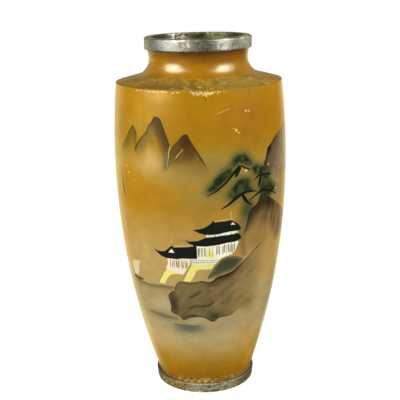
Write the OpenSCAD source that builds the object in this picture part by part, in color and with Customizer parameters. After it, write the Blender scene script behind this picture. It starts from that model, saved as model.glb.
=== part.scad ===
// Shouldered cloisonne vase: a copper shell of two raised parts, an enamelled landscape,
// and a metal collar and foot ring. Millimetres, +Z up, origin at the centre of the foot's rest plane.
// Azimuths are in degrees from the front of the vase (-Y), growing towards +X.

/* [Body] */
// Overall height, to the top of the rim collar
vase_h = 305; // [295:1:315]
// Largest outer diameter
belly_d = 146.8; // [140:0.2:152]
// Height of the largest diameter
belly_z = 202.5; // [190:0.5:215]
// Radius of the single arc that is the body's outer profile
body_arc = 605; // [580:5:640]
// Height of the sharp shoulder edge
shoulder_z = 268.5; // [265:0.5:270]

/* [Neck] */
// Outer radius at the narrowest point of the neck
neck_r = 41.4; // [40.5:0.1:42]
// Slope of the shoulder, in degrees
shoulder_slope = 15.2; // [13:0.1:17]
// Radius of the fillet between shoulder and neck
neck_fillet = 14.3; // [12:0.1:15]
// Radius of the outward flare below the collar
neck_flare = 23; // [20:0.5:30]

/* [Mounts] */
// Outer diameter of the rim collar
collar_d = 89.8; // [88.5:0.1:92]
// Height of the rim collar
collar_h = 10.2; // [9:0.1:11]
// Bore of the rim collar, which is the mouth of the vase
mouth_d = 76; // [74:0.5:77]
// Depth of metal over the neck's edge
collar_cap = 3; // [2.5:0.1:4]
// Largest outer radius of the foot ring
foot_r = 44.1; // [43.5:0.1:45]
// Height of the foot ring
foot_h = 8.3; // [8:0.1:9]
// Inner radius of the foot ring
foot_bore_r = 38.5; // [37.5:0.1:38.5]

/* [Walls] */
// Thickness of the copper
copper_t = 1.2; // [1:0.1:1.4]
// Thickness of the outer enamel
enamel_t = 0.8; // [0.6:0.1:1]
// Thickness of the lining enamel
lining_t = 0.6; // [0.5:0.1:0.7]
// Height of the lap joint's lower edge, below the shoulder
lap_z = 258; // [256:0.5:260]
// Width of the brazed seam
seam_h = 0.3; // [0.2:0.05:0.5]
// Width of a cell wire
wire_w = 0.5; // [0.4:0.05:0.7]

/* [Hidden] */

$fn = 96;
belly_r = belly_d / 2;
// The lap joint: the seam lies this far above its lower edge.
lap_h = 5;
seam_z = lap_z + lap_h;
// The copper floor stands on a rebate in the foot ring.
floor_z = 6.8;
floor_t = copper_t;
rebate_z = floor_z - floor_t;
rebate_r = 41.2;
collar_z = vase_h - collar_h;
slot_z = vase_h - collar_cap;
// Heights at which the body's profile has a point; the first is hidden inside the foot ring.
hidden_z = 4;
body_step = 20;
body_rows = floor((lap_z - foot_h) / body_step);
body_zs = concat([hidden_z], [for (i = [0 : body_rows - 1]) foot_h + i * body_step],
    [lap_z, seam_z, seam_z + seam_h, shoulder_z]);
corner = len(body_zs) - 1;
lap_i = corner - 3;
seam_i = corner - 2;
lip_i = corner - 1;

// Outer radius of the body at height z
function body_r(z) = belly_r - body_arc + sqrt(pow(body_arc, 2) - pow(z - belly_z, 2));

// The neck: a straight shoulder, a fillet up to the narrowest point, a flare, and the edge in the collar
fillet_start_r = neck_r + neck_fillet * (1 - sin(shoulder_slope));
fillet_start_z = shoulder_z + (body_r(shoulder_z) - fillet_start_r) * tan(shoulder_slope);
waist_z = fillet_start_z + neck_fillet * cos(shoulder_slope);
fillet_steps = 8;
flare_steps = 3;
neck_path = concat(
    [for (i = [0 : fillet_steps])
        let (a = shoulder_slope + i * (90 - shoulder_slope) / fillet_steps)
        [neck_r + neck_fillet * (1 - sin(a)), waist_z - neck_fillet * cos(a)]],
    [for (i = [1 : flare_steps])
        let (h = i * (collar_z - waist_z) / flare_steps)
        [neck_r + pow(h, 2) / (2 * neck_flare), waist_z + h]]);
lip_r = neck_path[len(neck_path) - 1][0];
wall_path = concat([for (z = body_zs) [body_r(z), z]], neck_path, [[lip_r, slot_z]]);
last = len(wall_path) - 1;

// Inward unit normal of the segment that starts at point i
function seg_normal(i) =
    let (t = wall_path[i + 1] - wall_path[i])
    [-t[1], t[0]] / norm(t);
// Point i of the wall moved inwards by d, mitred so that every segment moves by exactly d
function inset(i, d) =
    let (n1 = seg_normal(max(0, i - 1)), n2 = seg_normal(min(last - 1, i)))
    wall_path[i] + d * (n1 + n2) / (1 + n1 * n2);
// Section of the layer between depths d0 and d1, from point i0 to point i1
function layer(i0, i1, d0, d1) = concat(
    [for (i = [i0 : i1]) inset(i, d0)],
    [for (i = [i1 : -1 : i0]) inset(i, d1)]);
// Points of a quarter circle about c, from angle a0, turning by 90 degrees
function quarter(c, r, a0) = [for (k = [0 : 6]) c + r * [cos(a0 + 15 * k), sin(a0 + 15 * k)]];

copper_d0 = enamel_t;
copper_d1 = enamel_t + copper_t;
copper_mid = enamel_t + copper_t / 2;
lining_d1 = copper_d1 + lining_t;

// Everything above height z, as a half section
module above(z) {
    translate([0, z]) square([belly_d, vase_h]);
}

module enamel_shell() {
    rotate_extrude() intersection() {
        polygon(layer(0, corner, 0, enamel_t));
        above(foot_h);
    }
}

/* Drawing on the wall. A motif is a list of [azimuth, z] points, laid on the plane that touches
   the body at the azimuth `at` and cut through the enamel along that plane's normal. */
left_at = -35;
front_at = 0;
right_at = 55;
// A cutter runs between these distances from the vase's axis.
cut_from = 15;
cut_to = belly_r + 5;
// A bend sharper than this keeps a blunt corner, so that no band grows a spike.
bluntest = 0.6;

function on_plane(at, pts) = [for (p = pts) [body_r(p[1]) * sin(p[0] - at), p[1]]];
function side(pts, i, s, w) =
    let (a = pts[max(0, i - 1)], b = pts[i], c = pts[min(len(pts) - 1, i + 1)],
        t1 = i == 0 ? c - b : b - a, t2 = i == len(pts) - 1 ? b - a : c - b,
        n1 = [-t1[1], t1[0]] / norm(t1), n2 = [-t2[1], t2[0]] / norm(t2))
    b + s * w / 2 * (n1 + n2) / max(1 + n1 * n2, bluntest);
// A band of even width w along a line of points
function band(at, line, w) =
    let (p = on_plane(at, line), n = len(p) - 1)
    concat([for (i = [0 : n]) side(p, i, 1, w)], [for (i = [n : -1 : 0]) side(p, i, -1, w)]);
// A band whose points are [azimuth, z, width]
function brush(at, line) =
    let (p = on_plane(at, line), n = len(p) - 1)
    concat([for (i = [0 : n]) side(p, i, 1, line[i][2])],
        [for (i = [n : -1 : 0]) side(p, i, -1, line[i][2])]);

module shape(at, pts) {
    polygon(on_plane(at, pts));
}
module wire(at, line) {
    polygon(band(at, line, wire_w));
}
// Children are drawn on the plane at azimuth `at`; the result is a cutter through the wall there.
module cutter(at) {
    rotate([0, 0, at]) rotate([90, 0, 0]) translate([0, 0, cut_from])
        linear_extrude(height = cut_to - cut_from) children();
}
module inlay(at) {
    intersection() {
        enamel_shell();
        cutter(at) children();
    }
}

/* Peaks, at the left */
far_crest = [[-62, 219], [-57, 226], [-53, 232], [-50, 236.5], [-48, 239.5], [-46, 237], [-44, 231.5]];
tall_crest = [[-46, 219.5], [-42, 228], [-38, 233], [-35.5, 236], [-34.5, 241], [-33, 242],
    [-31, 245], [-29.5, 248], [-25.5, 246.5], [-23, 239.5], [-20, 230], [-19, 225.5]];
near_crest = [[-18.5, 223.5], [-14, 230], [-11.5, 233.5], [-9.5, 235], [-7.5, 234.5], [-6, 230.5],
    [-1, 220], [3, 211]];
peak_gully = [[-19, 225.5], [-20, 217], [-21, 208]];
near_crease = [[-10.5, 223.5], [-13, 220], [-15.5, 216]];

module far_peak_shape() {
    shape(left_at, concat(far_crest, [[-45, 214], [-52, 211], [-62, 212]]));
}
module tall_peak_shape() {
    shape(left_at, concat(tall_crest, [[-20, 217], [-21.5, 205], [-30, 209], [-40, 213]]));
}
module near_peak_shape() {
    shape(left_at, concat([[-20.5, 207], [-19.8, 217]], near_crest, [[5, 205], [-6, 202], [-15, 203]]));
}
module peak_wire_shape() {
    wire(left_at, far_crest);
    wire(left_at, tall_crest);
    wire(left_at, near_crest);
    wire(left_at, peak_gully);
    wire(left_at, near_crease);
}

/* Mountain and rock, at the right */
mountain_crest = [[44, 205.5], [45.5, 209.5], [48, 216.5], [49.5, 219.5], [52.5, 221.5], [57, 226],
    [62, 229], [68, 232.5], [76, 234]];
rock_crest = [[27.5, 149], [29, 155], [31, 164], [32, 169.5], [36, 173], [39, 176.5], [41, 180.5],
    [46, 180], [52, 176], [60, 169.5], [70, 162], [80, 156]];

module mountain_shape() {
    shape(right_at, concat(mountain_crest, [[92, 228], [104, 212], [104, 196], [88, 186], [66, 184],
        [52, 190]]));
}
module rock_shape() {
    shape(right_at, concat(rock_crest, [[96, 148], [96, 128], [75, 126], [56, 132], [44, 146]]));
}
module rock_wire_shape() {
    wire(right_at, mountain_crest);
    wire(right_at, rock_crest);
}

/* Ledge and moss, in front */
ledge_top = [[-27, 98], [-22, 103.5], [-20.5, 107], [-18, 111], [-15, 112], [-10, 111.3], [-5, 112],
    [-1, 113], [4, 111.8], [7, 113], [10, 116], [20, 119.5], [25, 124], [33, 131], [37, 135], [46, 141]];
ledge_foot = [[50, 90], [32, 84.5], [24, 80], [21, 78], [12, 77], [9, 74.2], [5.5, 74], [1, 77.5],
    [-4, 78.6], [-10, 78], [-16.5, 75], [-19.5, 78.5], [-26.5, 81.5], [-26, 87], [-27, 95]];
ledge_cracks = [
    [[-10, 98.5], [-6, 101], [-2.5, 104]],
    [[-11, 87.5], [-7, 90], [0, 90], [4, 91], [7, 93.5]],
    [[-17, 78], [-12, 80.5], [-6, 81]]];

module ledge_shape() {
    shape(front_at, concat(ledge_top, [[56, 130], [58, 108]], ledge_foot));
}
module ledge_wire_shape() {
    wire(front_at, ledge_top);
    wire(front_at, concat(ledge_foot, [ledge_top[0]]));
    for (c = ledge_cracks) wire(front_at, c);
}
module moss_shape() {
    shape(front_at, [[5, 115.5], [4, 118], [6, 122], [9.5, 127], [13, 131.5], [17, 133], [22, 132.5],
        [26, 129.5], [25.5, 126], [20, 121.8], [14, 119.6], [8.5, 116.8]]);
}

/* The hall: three roofs over white walls, on yellow terraces */
upper_roof = [[-5, 158], [1, 159.5], [4, 161], [6, 163.3], [7, 165], [8, 163.2], [19, 163.9],
    [21, 162.8], [24, 160], [25.8, 157.3], [24.6, 155.5], [19, 155.6], [14, 155], [11, 154],
    [6, 153.8], [2, 154.1], [-2, 155.7]];
middle_roof = [[-11.5, 149], [-9, 147.5], [-3, 148], [2.5, 150.8], [13, 151.6], [20, 151.9], [23, 152.5],
    [24.5, 151.8], [26.3, 149], [25.8, 147.4], [22, 145.2], [16, 145], [10, 143.8], [2, 143],
    [-3.4, 143.4], [-8, 145], [-10, 147]];
lower_roof = [[-34.5, 139], [-31.5, 137.3], [-28, 137], [-25.5, 138], [-22, 141.8], [-20.7, 143.2],
    [-19.4, 141.6], [-12, 142.2], [-6, 143.2], [-5.6, 145.3], [-3.8, 145.3], [-3.7, 132.7], [-14, 132.8],
    [-17, 132], [-25, 132], [-29, 133.3], [-32, 136]];
lower_gable = [[-23.3, 137.4], [-20.8, 140.9], [-18.9, 137.3]];
upper_gable = [[18.4, 160.6], [19.8, 162.6], [21.8, 160.4]];
clerestory = [[2.5, 150], [2.5, 155], [23.5, 156.5], [24, 151.2], [13, 150.8]];
hall_walls = [[-4.6, 133.6], [-4.6, 144.5], [22.8, 146.4], [24.6, 145.4], [22.5, 138.5], [20, 135.2],
    [15, 133.6], [12.5, 132.5], [8.2, 127.7], [-7.5, 127.7], [-8.5, 133.6]];
side_walls = [[-24.5, 132.6], [-17, 133.6], [-8.6, 133.6], [-8.5, 129], [-10.5, 124], [-13.8, 118.4],
    [-18, 118.8], [-18, 120.6], [-26, 121.6], [-26, 123.5], [-24.6, 127]];
left_terrace = [[-34, 108], [-31, 113.5], [-28, 119], [-26, 121.5], [-18, 120.5], [-17.6, 118.6],
    [-21, 118.2], [-24, 116.5], [-26.5, 113], [-28.5, 108]];
right_terrace = [[-14.3, 112.3], [-12.5, 116.5], [-9.5, 123.5], [-7.6, 127.6], [8.1, 127.6], [6, 123.4],
    [-3, 123.2], [-4.7, 122], [-6.7, 116.5], [-9, 112.3]];
ridges = [
    [[-18.5, 142.8], [-6.4, 143.9]],
    [[8.4, 164.3], [19.6, 165]]];
finials = [
    [[-20.7, 144], [-20.5, 150]],
    [[7.4, 165.8], [8, 171.5]],
    [[19, 165.8], [18.8, 171.5]]];

module gable_shape() {
    shape(front_at, lower_gable);
    shape(front_at, upper_gable);
}
module roof_cell(pts) {
    inlay(front_at) difference() {
        shape(front_at, pts);
        gable_shape();
    }
}
module roof_shape() {
    shape(front_at, upper_roof);
    shape(front_at, middle_roof);
    shape(front_at, lower_roof);
}
module roof_wire_shape() {
    for (r = ridges) wire(front_at, r);
    for (f = finials) wire(front_at, f);
}
module panel_shape() {
    difference() {
        union() {
            shape(front_at, clerestory);
            shape(front_at, hall_walls);
            shape(front_at, side_walls);
        }
        roof_shape();
    }
}
// Rows of upright wires: how many, the first one's azimuth and the gap to the next, then the first
// one's foot and top and how much each rises from one to the next
hall_posts = [11, -2.4, 2.3, 134.6, 142.6, 0.18, 0.1];
side_posts = [5, -22.5, 2.8, 123.5, 131.2, 0, 0];
window_posts = [4, 5, 5, 151.9, 153, 0.1, 0.4];
rails = [
    [[-8.2, 131.6], [11, 131]],
    [[-8, 129.6], [9.4, 129.3]]];

module post_row(row) {
    for (i = [0 : row[0] - 1])
        let (a = row[1] + i * row[2])
            wire(front_at, [[a, row[4] + i * row[6]], [a, row[3] + i * row[5]]]);
}
module column_wire_shape() {
    post_row(hall_posts);
    post_row(side_posts);
    post_row(window_posts);
    for (r = rails) wire(front_at, r);
}
module terrace_shape() {
    shape(front_at, left_terrace);
    shape(front_at, right_terrace);
}
module terrace_wire_shape() {
    wire(front_at, [[-34.3, 107.6], [-31.3, 113.5], [-28.3, 119.2], [-26.4, 121.9]]);
    wire(front_at, [[-14.6, 112.4], [-12.9, 116.5], [-9.9, 123.5], [-8.4, 127]]);
}

/* The pine: [azimuth, z, width] along each branch */
branches = [
    [[4, 186, 0.8], [9, 188.8, 1.1], [14, 192.5, 1.3], [18, 197.5, 1.5], [21, 203, 2], [25, 208, 2.4]],
    [[25.2, 208.3, 1.4], [29, 205.8, 1.2], [32.5, 203.8, 0.8]],
    [[25, 207, 2.2], [23.5, 202.5, 2.4], [22.6, 199.2, 1.4]],
    [[35, 196.4, 0.8], [38, 197.7, 1.3], [41, 197.8, 1.5], [45, 195.8, 1.3], [50.5, 193.8, 0.9]],
    [[41, 197.4, 1.4], [39.6, 193.5, 2], [38.9, 189.8, 1.6]],
    [[12, 174.8, 0.8], [16, 177.4, 1.2], [21, 181.8, 1.4], [26, 185.6, 1.8], [29, 186.6, 1.6],
        [33, 186, 1.3], [37.5, 184.9, 0.9]],
    [[26.3, 185.6, 1.6], [28, 181.5, 2.2], [30, 178, 1.8], [33.5, 174.8, 1]],
    [[32, 179.8, 0.7], [38, 182.6, 1], [42, 183.6, 1.2], [47, 182.8, 1.3], [53, 180, 1.2],
        [58, 176.8, 1], [64, 174.8, 0.7]]];
needle_clouds = [
    [[4, 190], [6, 196], [11, 203.5], [17, 208.5], [19.5, 206], [17.5, 200.5], [13.5, 195.3], [8.5, 190.8]],
    [[18.5, 211], [21, 215.5], [26, 218], [31, 214.5], [34, 209], [31.5, 207.2], [26, 210.8], [22, 208.5]],
    [[33, 207.5], [38, 207], [43, 205], [47, 203.5], [51, 200.5], [49, 197.6], [41, 200], [34, 201.5]],
    [[14, 187.5], [20, 196.5], [25, 199.5], [31, 198], [34.5, 193.5], [34, 188.6], [26, 188.3],
        [20, 183], [15.5, 179.5]],
    [[40, 189.5], [44, 193], [50, 191.5], [56, 187], [62, 182], [58, 179.4], [52, 183], [43, 186]],
    [[26, 172], [29, 175.5], [32.5, 173.4], [31, 169.5], [29.5, 162.5], [26.5, 165]]];

module branch_shape() {
    for (b = branches) polygon(brush(right_at, b));
}
module needle_shape() {
    for (c = needle_clouds) shape(right_at, c);
}
module pine_wire_shape() {
    wire(right_at, [[26.5, 207], [28.5, 203.6], [30, 202.8]]);
    wire(right_at, [[50, 195], [55, 191], [60, 186]]);
}

/* Boat and water, at the left */
sail = [[-62, 119], [-59, 121.2], [-52, 123.3], [-55.5, 116.5], [-59, 109], [-61, 109.4], [-62, 114]];
hull = [[-64, 105.2], [-61, 107.4], [-57, 106.9], [-50, 107], [-53, 105.2], [-59, 104.6]];
water_bands = [
    [[-56, 103, 1.2], [-48, 102.2, 2.6], [-40, 102.4, 2.4], [-32, 104, 2], [-23.5, 105, 1.2]],
    [[-49, 77.2, 1], [-42, 76.4, 2.4], [-32, 76, 2.6], [-23, 75.4, 1.2]],
    [[-25, 70, 1], [-18, 69, 3.2], [-10, 68.8, 3.6], [-4, 69.6, 1]]];

module water_shape() {
    for (b = water_bands) polygon(brush(left_at, b));
}
module boat_wire_shape() {
    wire(left_at, [[-59.6, 108.4], [-53, 109.4], [-49.5, 110.6]]);
}
module water_wire_shape() {
    wire(left_at, [[-56, 104.2], [-48, 104.2], [-40, 104.4], [-32, 105.7], [-23.2, 106.3]]);
    wire(left_at, [[-25, 71.3], [-10, 71.3], [-4, 70.9]]);
}

/* Structure */
module body_wall() color("peru") rotate_extrude() difference() {
    union() {
        polygon(layer(0, lap_i, copper_d0, copper_d1));
        polygon(layer(lap_i, seam_i, copper_d0, copper_mid));
    }
    square([belly_d, floor_z]);
}

module neck_shoulder() color("peru") rotate_extrude() polygon(concat(
    [for (i = [lip_i : last]) inset(i, copper_d0)],
    [for (i = [last : -1 : lap_i]) inset(i, copper_d1)],
    [for (i = [lap_i : lip_i]) inset(i, copper_mid)]));

module shoulder_solder() color("silver") rotate_extrude()
    polygon(layer(seam_i, lip_i, copper_d0, copper_mid));

module base_plate() color("peru") rotate_extrude()
    translate([0, rebate_z]) square([rebate_r, floor_t]);

module base_solder() color("silver") rotate_extrude() difference() {
    translate([0, floor_z]) square([rebate_r, foot_h - floor_z]);
    polygon(concat([[0, 0]], [for (i = [0 : 2]) inset(i, copper_d0)], [[0, body_zs[2]]]));
}

module rim_collar() color("gainsboro") {
    outer_r = collar_d / 2;
    bore_r = mouth_d / 2;
    outer_round = 2.6;
    inner_round = 2.2;
    edge_round = 0.6;
    // The slot's cutter runs this far past the collar's lower face.
    over = 1;
    rotate_extrude() difference() {
        polygon(concat(
            [[bore_r, collar_z]],
            quarter([outer_r - edge_round, collar_z + edge_round], edge_round, -90),
            quarter([outer_r - outer_round, vase_h - outer_round], outer_round, 0),
            quarter([bore_r + inner_round, vase_h - inner_round], inner_round, 90)));
        translate([lip_r - lining_d1, collar_z - over]) square([lining_d1, slot_z - collar_z + over]);
    }
}

module foot_ring() color("darkgray") {
    foot_round = 0.9;
    foot_taper = 0.8;
    rotate_extrude() polygon(concat(
        [[foot_bore_r, rebate_z]],
        quarter([foot_bore_r + foot_round, foot_round], foot_round, 180),
        quarter([foot_r - foot_taper - foot_round, foot_round], foot_round, -90),
        quarter([foot_r - foot_round, foot_h - foot_round], foot_round, 0),
        [[rebate_r, foot_h], [rebate_r, rebate_z]]));
}

module lining_enamel() color("dimgray") rotate_extrude() difference() {
    union() {
        polygon(layer(0, last, copper_d1, lining_d1));
        translate([0, floor_z]) square([body_r(floor_z + lining_t) - lining_d1, lining_t]);
    }
    square([belly_d, floor_z]);
}

module base_enamel() color("darkslategray") rotate_extrude()
    translate([0, rebate_z - lining_t]) square([foot_bore_r, lining_t]);

/* Outer enamel: the ground, with every cell and wire cut out of it */
module body_enamel() color("goldenrod") difference() {
    enamel_shell();
    cutter(left_at) {
        far_peak_shape();
        tall_peak_shape();
        near_peak_shape();
        peak_wire_shape();
        shape(left_at, sail);
        shape(left_at, hull);
        water_shape();
        boat_wire_shape();
        water_wire_shape();
    }
    cutter(front_at) {
        ledge_shape();
        moss_shape();
        roof_shape();
        roof_wire_shape();
        panel_shape();
        terrace_shape();
        terrace_wire_shape();
    }
    cutter(front_at) ledge_wire_shape();
    cutter(right_at) {
        mountain_shape();
        rock_shape();
        rock_wire_shape();
        branch_shape();
        needle_shape();
        pine_wire_shape();
    }
}

module neck_enamel() color("darkgoldenrod") rotate_extrude()
    polygon(layer(corner, last, 0, enamel_t));

/* Cells and wires */
module far_peak_enamel() color("darkkhaki") inlay(left_at) difference() {
    far_peak_shape();
    tall_peak_shape();
    peak_wire_shape();
}
module tall_peak_enamel() color("saddlebrown") inlay(left_at) difference() {
    tall_peak_shape();
    near_peak_shape();
    peak_wire_shape();
}
module near_peak_enamel() color("maroon") inlay(left_at) difference() {
    near_peak_shape();
    peak_wire_shape();
}
module peak_wires() color("khaki") inlay(left_at) peak_wire_shape();

module pine_cut() {
    branch_shape();
    needle_shape();
    pine_wire_shape();
}
module mountain_enamel() color("sienna") inlay(right_at) difference() {
    mountain_shape();
    rock_wire_shape();
    pine_cut();
}
module rock_enamel() color("darkolivegreen") inlay(right_at) difference() {
    rock_shape();
    rock_wire_shape();
    pine_cut();
}
module rock_wires() color("khaki") inlay(right_at) difference() {
    rock_wire_shape();
    pine_cut();
}
module ledge_enamel() color("dimgray") inlay(front_at) difference() {
    ledge_shape();
    ledge_wire_shape();
    moss_shape();
    terrace_shape();
}
module ledge_wires() color("khaki") inlay(front_at) difference() {
    ledge_wire_shape();
    moss_shape();
    terrace_shape();
}
module moss_enamel() color("darkseagreen") inlay(front_at) moss_shape();

module upper_roof_enamel() color("black") roof_cell(upper_roof);
module middle_roof_enamel() color("black") inlay(front_at) difference() {
    shape(front_at, middle_roof);
    shape(front_at, lower_roof);
}
module lower_roof_enamel() color("black") roof_cell(lower_roof);
module roof_wires() color("khaki") inlay(front_at) difference() {
    roof_wire_shape();
    roof_shape();
}
module wall_panel_enamel() color("ivory") inlay(front_at) {
    difference() {
        panel_shape();
        column_wire_shape();
    }
    gable_shape();
}
module column_wires() color("khaki") inlay(front_at) intersection() {
    panel_shape();
    column_wire_shape();
}
module terrace_enamel() color("yellow") inlay(front_at) difference() {
    terrace_shape();
    terrace_wire_shape();
    panel_shape();
}
module terrace_wires() color("khaki") inlay(front_at) difference() {
    terrace_wire_shape();
    panel_shape();
}

module pine_branch_enamel() color("black") inlay(right_at) branch_shape();
module pine_needle_enamel() color("darkgreen") inlay(right_at) difference() {
    needle_shape();
    branch_shape();
}
module pine_wires() color("khaki") inlay(right_at) difference() {
    pine_wire_shape();
    branch_shape();
    needle_shape();
}

module sail_enamel() color("wheat") inlay(left_at) shape(left_at, sail);
module hull_enamel() color("black") inlay(left_at) shape(left_at, hull);
module boat_wires() color("khaki") inlay(left_at) difference() {
    boat_wire_shape();
    shape(left_at, sail);
    shape(left_at, hull);
}
module water_enamel() color("cadetblue") inlay(left_at) difference() {
    water_shape();
    water_wire_shape();
}
module water_wires() color("khaki") inlay(left_at) water_wire_shape();

body_wall();
neck_shoulder();
base_plate();
shoulder_solder();
base_solder();
rim_collar();
foot_ring();
lining_enamel();
base_enamel();
body_enamel();
neck_enamel();
far_peak_enamel();
tall_peak_enamel();
near_peak_enamel();
peak_wires();
mountain_enamel();
rock_enamel();
rock_wires();
ledge_enamel();
ledge_wires();
moss_enamel();
upper_roof_enamel();
middle_roof_enamel();
lower_roof_enamel();
roof_wires();
wall_panel_enamel();
column_wires();
terrace_enamel();
terrace_wires();
pine_branch_enamel();
pine_needle_enamel();
pine_wires();
sail_enamel();
hull_enamel();
boat_wires();
water_enamel();
water_wires();
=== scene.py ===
"""The looks of a tall cloisonne vase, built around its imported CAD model. Metres, +Z up.

Places on the wall are (azimuth, height) pairs: degrees from the front (-Y) growing towards +X, and
millimetres above the foot. Paint colours are 0 to 255 sRGB, as a painter would mix them.
"""

import math

import bpy
import numpy as np
from mathutils import Matrix, Vector
from mathutils.geometry import delaunay_2d_cdt


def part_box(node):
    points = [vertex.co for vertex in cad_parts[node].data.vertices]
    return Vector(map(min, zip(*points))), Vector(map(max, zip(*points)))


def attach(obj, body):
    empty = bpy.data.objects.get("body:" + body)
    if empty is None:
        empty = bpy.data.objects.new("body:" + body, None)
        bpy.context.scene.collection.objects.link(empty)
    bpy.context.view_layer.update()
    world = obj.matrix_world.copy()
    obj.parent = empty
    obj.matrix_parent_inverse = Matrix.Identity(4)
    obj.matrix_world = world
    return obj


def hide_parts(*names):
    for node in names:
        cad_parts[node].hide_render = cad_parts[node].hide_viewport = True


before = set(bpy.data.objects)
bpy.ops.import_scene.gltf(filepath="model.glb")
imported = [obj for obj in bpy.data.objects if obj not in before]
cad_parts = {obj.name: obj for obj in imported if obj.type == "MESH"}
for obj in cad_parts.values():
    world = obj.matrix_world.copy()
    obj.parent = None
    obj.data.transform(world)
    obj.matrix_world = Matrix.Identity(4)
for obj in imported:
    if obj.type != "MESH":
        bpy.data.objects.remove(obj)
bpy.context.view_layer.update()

MM = 0.001


# ---------------------------------------------------------------- sizes, in millimetres
def low(node):
    """Lowest corner of a CAD piece's box."""
    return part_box(node)[0] / MM


def high(node):
    """Highest corner of a CAD piece's box."""
    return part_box(node)[1] / MM


VASE_H = high("rim_collar").z
COLLAR_Z = low("rim_collar").z
COLLAR_R = high("rim_collar").x
FOOT_R = high("foot_ring").x
FOOT_H = high("foot_ring").z
BELLY_R = high("body_enamel").x
SHOULDER_Z = high("body_enamel").z
# The wall's curves: the body's arc about its belly, then the shoulder's slope, its fillet and the flare
BODY_ARC = 605
BELLY_Z = 202.5
NECK_R = 41.4
SLOPE = math.radians(15.2)
FILLET = 14.3
FLARE = 23
# Bores, the floor and the thickness of each coat
MOUTH_R = 38
FOOT_BORE_R = 38.5
FLOOR_Z = 6.8
REBATE_R = 41.2
ENAMEL_T = 0.75
COPPER_IN = 2.0
LINING_T = 0.6
# Gap between a coat that takes a CAD piece's place and that piece's own faces
CLEAR = 0.05
# The counter enamel under the floor
GLAZE_R = 38.4
GLAZE_LOW = 5.05
GLAZE_HIGH = 5.55
# Height below which the neck's gloss is worn dull, as a scuffed shoulder
SCUFFED_Z = 271.5
# How far below the CAD's outer face each coat lies: the ground lowest, the wires flush
GROUND_LIFT = -0.10
LOW_LIFT = -0.07
MID_LIFT = -0.05
TOP_LIFT = -0.03
WIRE_LIFT = -0.01
# Thickness of a cell's enamel, and of a stroke's
CELL_THICK = 0.3
STROKE_THICK = 0.2
# Spacing of the points inside a cell, and inside a chip
CELL_GRID = 1.2
CHIP_GRID = 0.8
# Longest step along a cell's edge
EDGE_STEP = 0.8


def body_r(z):
    """Radius of the body's outer face at a height."""
    return BELLY_R - BODY_ARC + np.sqrt(BODY_ARC**2 - (np.asarray(z, float) - BELLY_Z) ** 2)


def neck_profile():
    """(radius, height) points from the shoulder's edge up the neck to the collar."""
    edge_r = float(body_r(SHOULDER_Z))
    start_r = NECK_R + FILLET * (1 - math.sin(SLOPE))
    start_z = SHOULDER_Z + (edge_r - start_r) * math.tan(SLOPE)
    waist_z = start_z + FILLET * math.cos(SLOPE)
    slope = [(edge_r + (start_r - edge_r) * t, SHOULDER_Z + (start_z - SHOULDER_Z) * t)
             for t in np.linspace(0, 1, 26)[:-1]]
    bend = [(NECK_R + FILLET * (1 - math.sin(a)), waist_z - FILLET * math.cos(a))
            for a in np.linspace(SLOPE, math.pi / 2, 26)[:-1]]
    flare = [(NECK_R + h**2 / (2 * FLARE), waist_z + h) for h in np.linspace(0, COLLAR_Z - waist_z, 10)]
    return slope + bend + flare


# ---------------------------------------------------------------- repeatable noise
def lattice(ix, iy, iz, seed):
    """A number from 0 to 1 for each whole-number point."""
    h = (ix * 374761393 + iy * 668265263 + iz * 2147483647 + seed * 144269504).astype(np.int64)
    h = (h ^ (h >> 13)) * 1274126177 & 0x7FFFFFFF
    h = (h ^ (h >> 16)) * 69069 & 0x7FFFFFFF
    return (h & 0xFFFFFF) / float(0xFFFFFF)


def noise(x, y, z, seed):
    """Smooth noise from 0 to 1 with features one unit apart."""
    x, y, z = np.broadcast_arrays(x, y, z)
    fx, fy, fz = np.floor(x), np.floor(y), np.floor(z)
    tx, ty, tz = (t * t * (3 - 2 * t) for t in (x - fx, y - fy, z - fz))
    fx, fy, fz = (f.astype(np.int64) for f in (fx, fy, fz))
    total = 0.0
    for dx in (0, 1):
        for dy in (0, 1):
            for dz in (0, 1):
                weight = (tx if dx else 1 - tx) * (ty if dy else 1 - ty) * (tz if dz else 1 - tz)
                total = total + weight * lattice(fx + dx, fy + dy, fz + dz, seed)
    return total


def cloudy(x, y, z, seed):
    """Noise summed over three halving sizes, from about 0 to 1."""
    total, weight, weights = 0.0, 1.0, 0.0
    for i in range(3):
        total = total + weight * noise(x * 2**i, y * 2**i, z * 2**i, seed + i)
        weights += weight
        weight *= 0.55
    return total / weights


def turned_places(az, r, z):
    """x, y and z of places at a distance from the axis."""
    a = np.radians(az)
    return r * np.sin(a), -r * np.cos(a), np.asarray(z, float)


# ---------------------------------------------------------------- masks and mixing, on the wall
def fade(x, none, full):
    """0 at none, 1 at full, smooth between; none may be above full."""
    t = np.clip((x - none) / (full - none), 0, 1)
    return t * t * (3 - 2 * t)


def blob(az, z, at, size, firm):
    """1 at the point at, falling off over size = (degrees, millimetres), and more sharply when firm."""
    q = np.hypot((az - at[0]) / size[0], (z - at[1]) / size[1])
    return np.exp(-(q**firm))


def mix(colour, other, mask):
    """Colours moved towards another by a mask of 0 to 1."""
    return colour + (np.array(other, float) - colour) * np.clip(mask, 0, 1)[:, None]


def smooth(points, closed=False, steps=8):
    """Points on a Catmull-Rom curve through the given ones."""
    p = np.array(points, float)
    n = len(p)
    if n < 3:
        return p
    ids = range(n if closed else n - 1)
    out = []
    for i in ids:
        if closed:
            a, b, c, d = (p[(i + k) % n] for k in (-1, 0, 1, 2))
        else:
            a, b, c, d = (p[min(max(i + k, 0), n - 1)] for k in (-1, 0, 1, 2))
        for t in np.arange(steps) / steps:
            out.append(0.5 * (2 * b + (c - a) * t + (2 * a - 5 * b + 4 * c - d) * t**2
                              + (3 * b - a - 3 * c + d) * t**3))
    if not closed:
        out.append(p[-1])
    return np.array(out)


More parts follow.
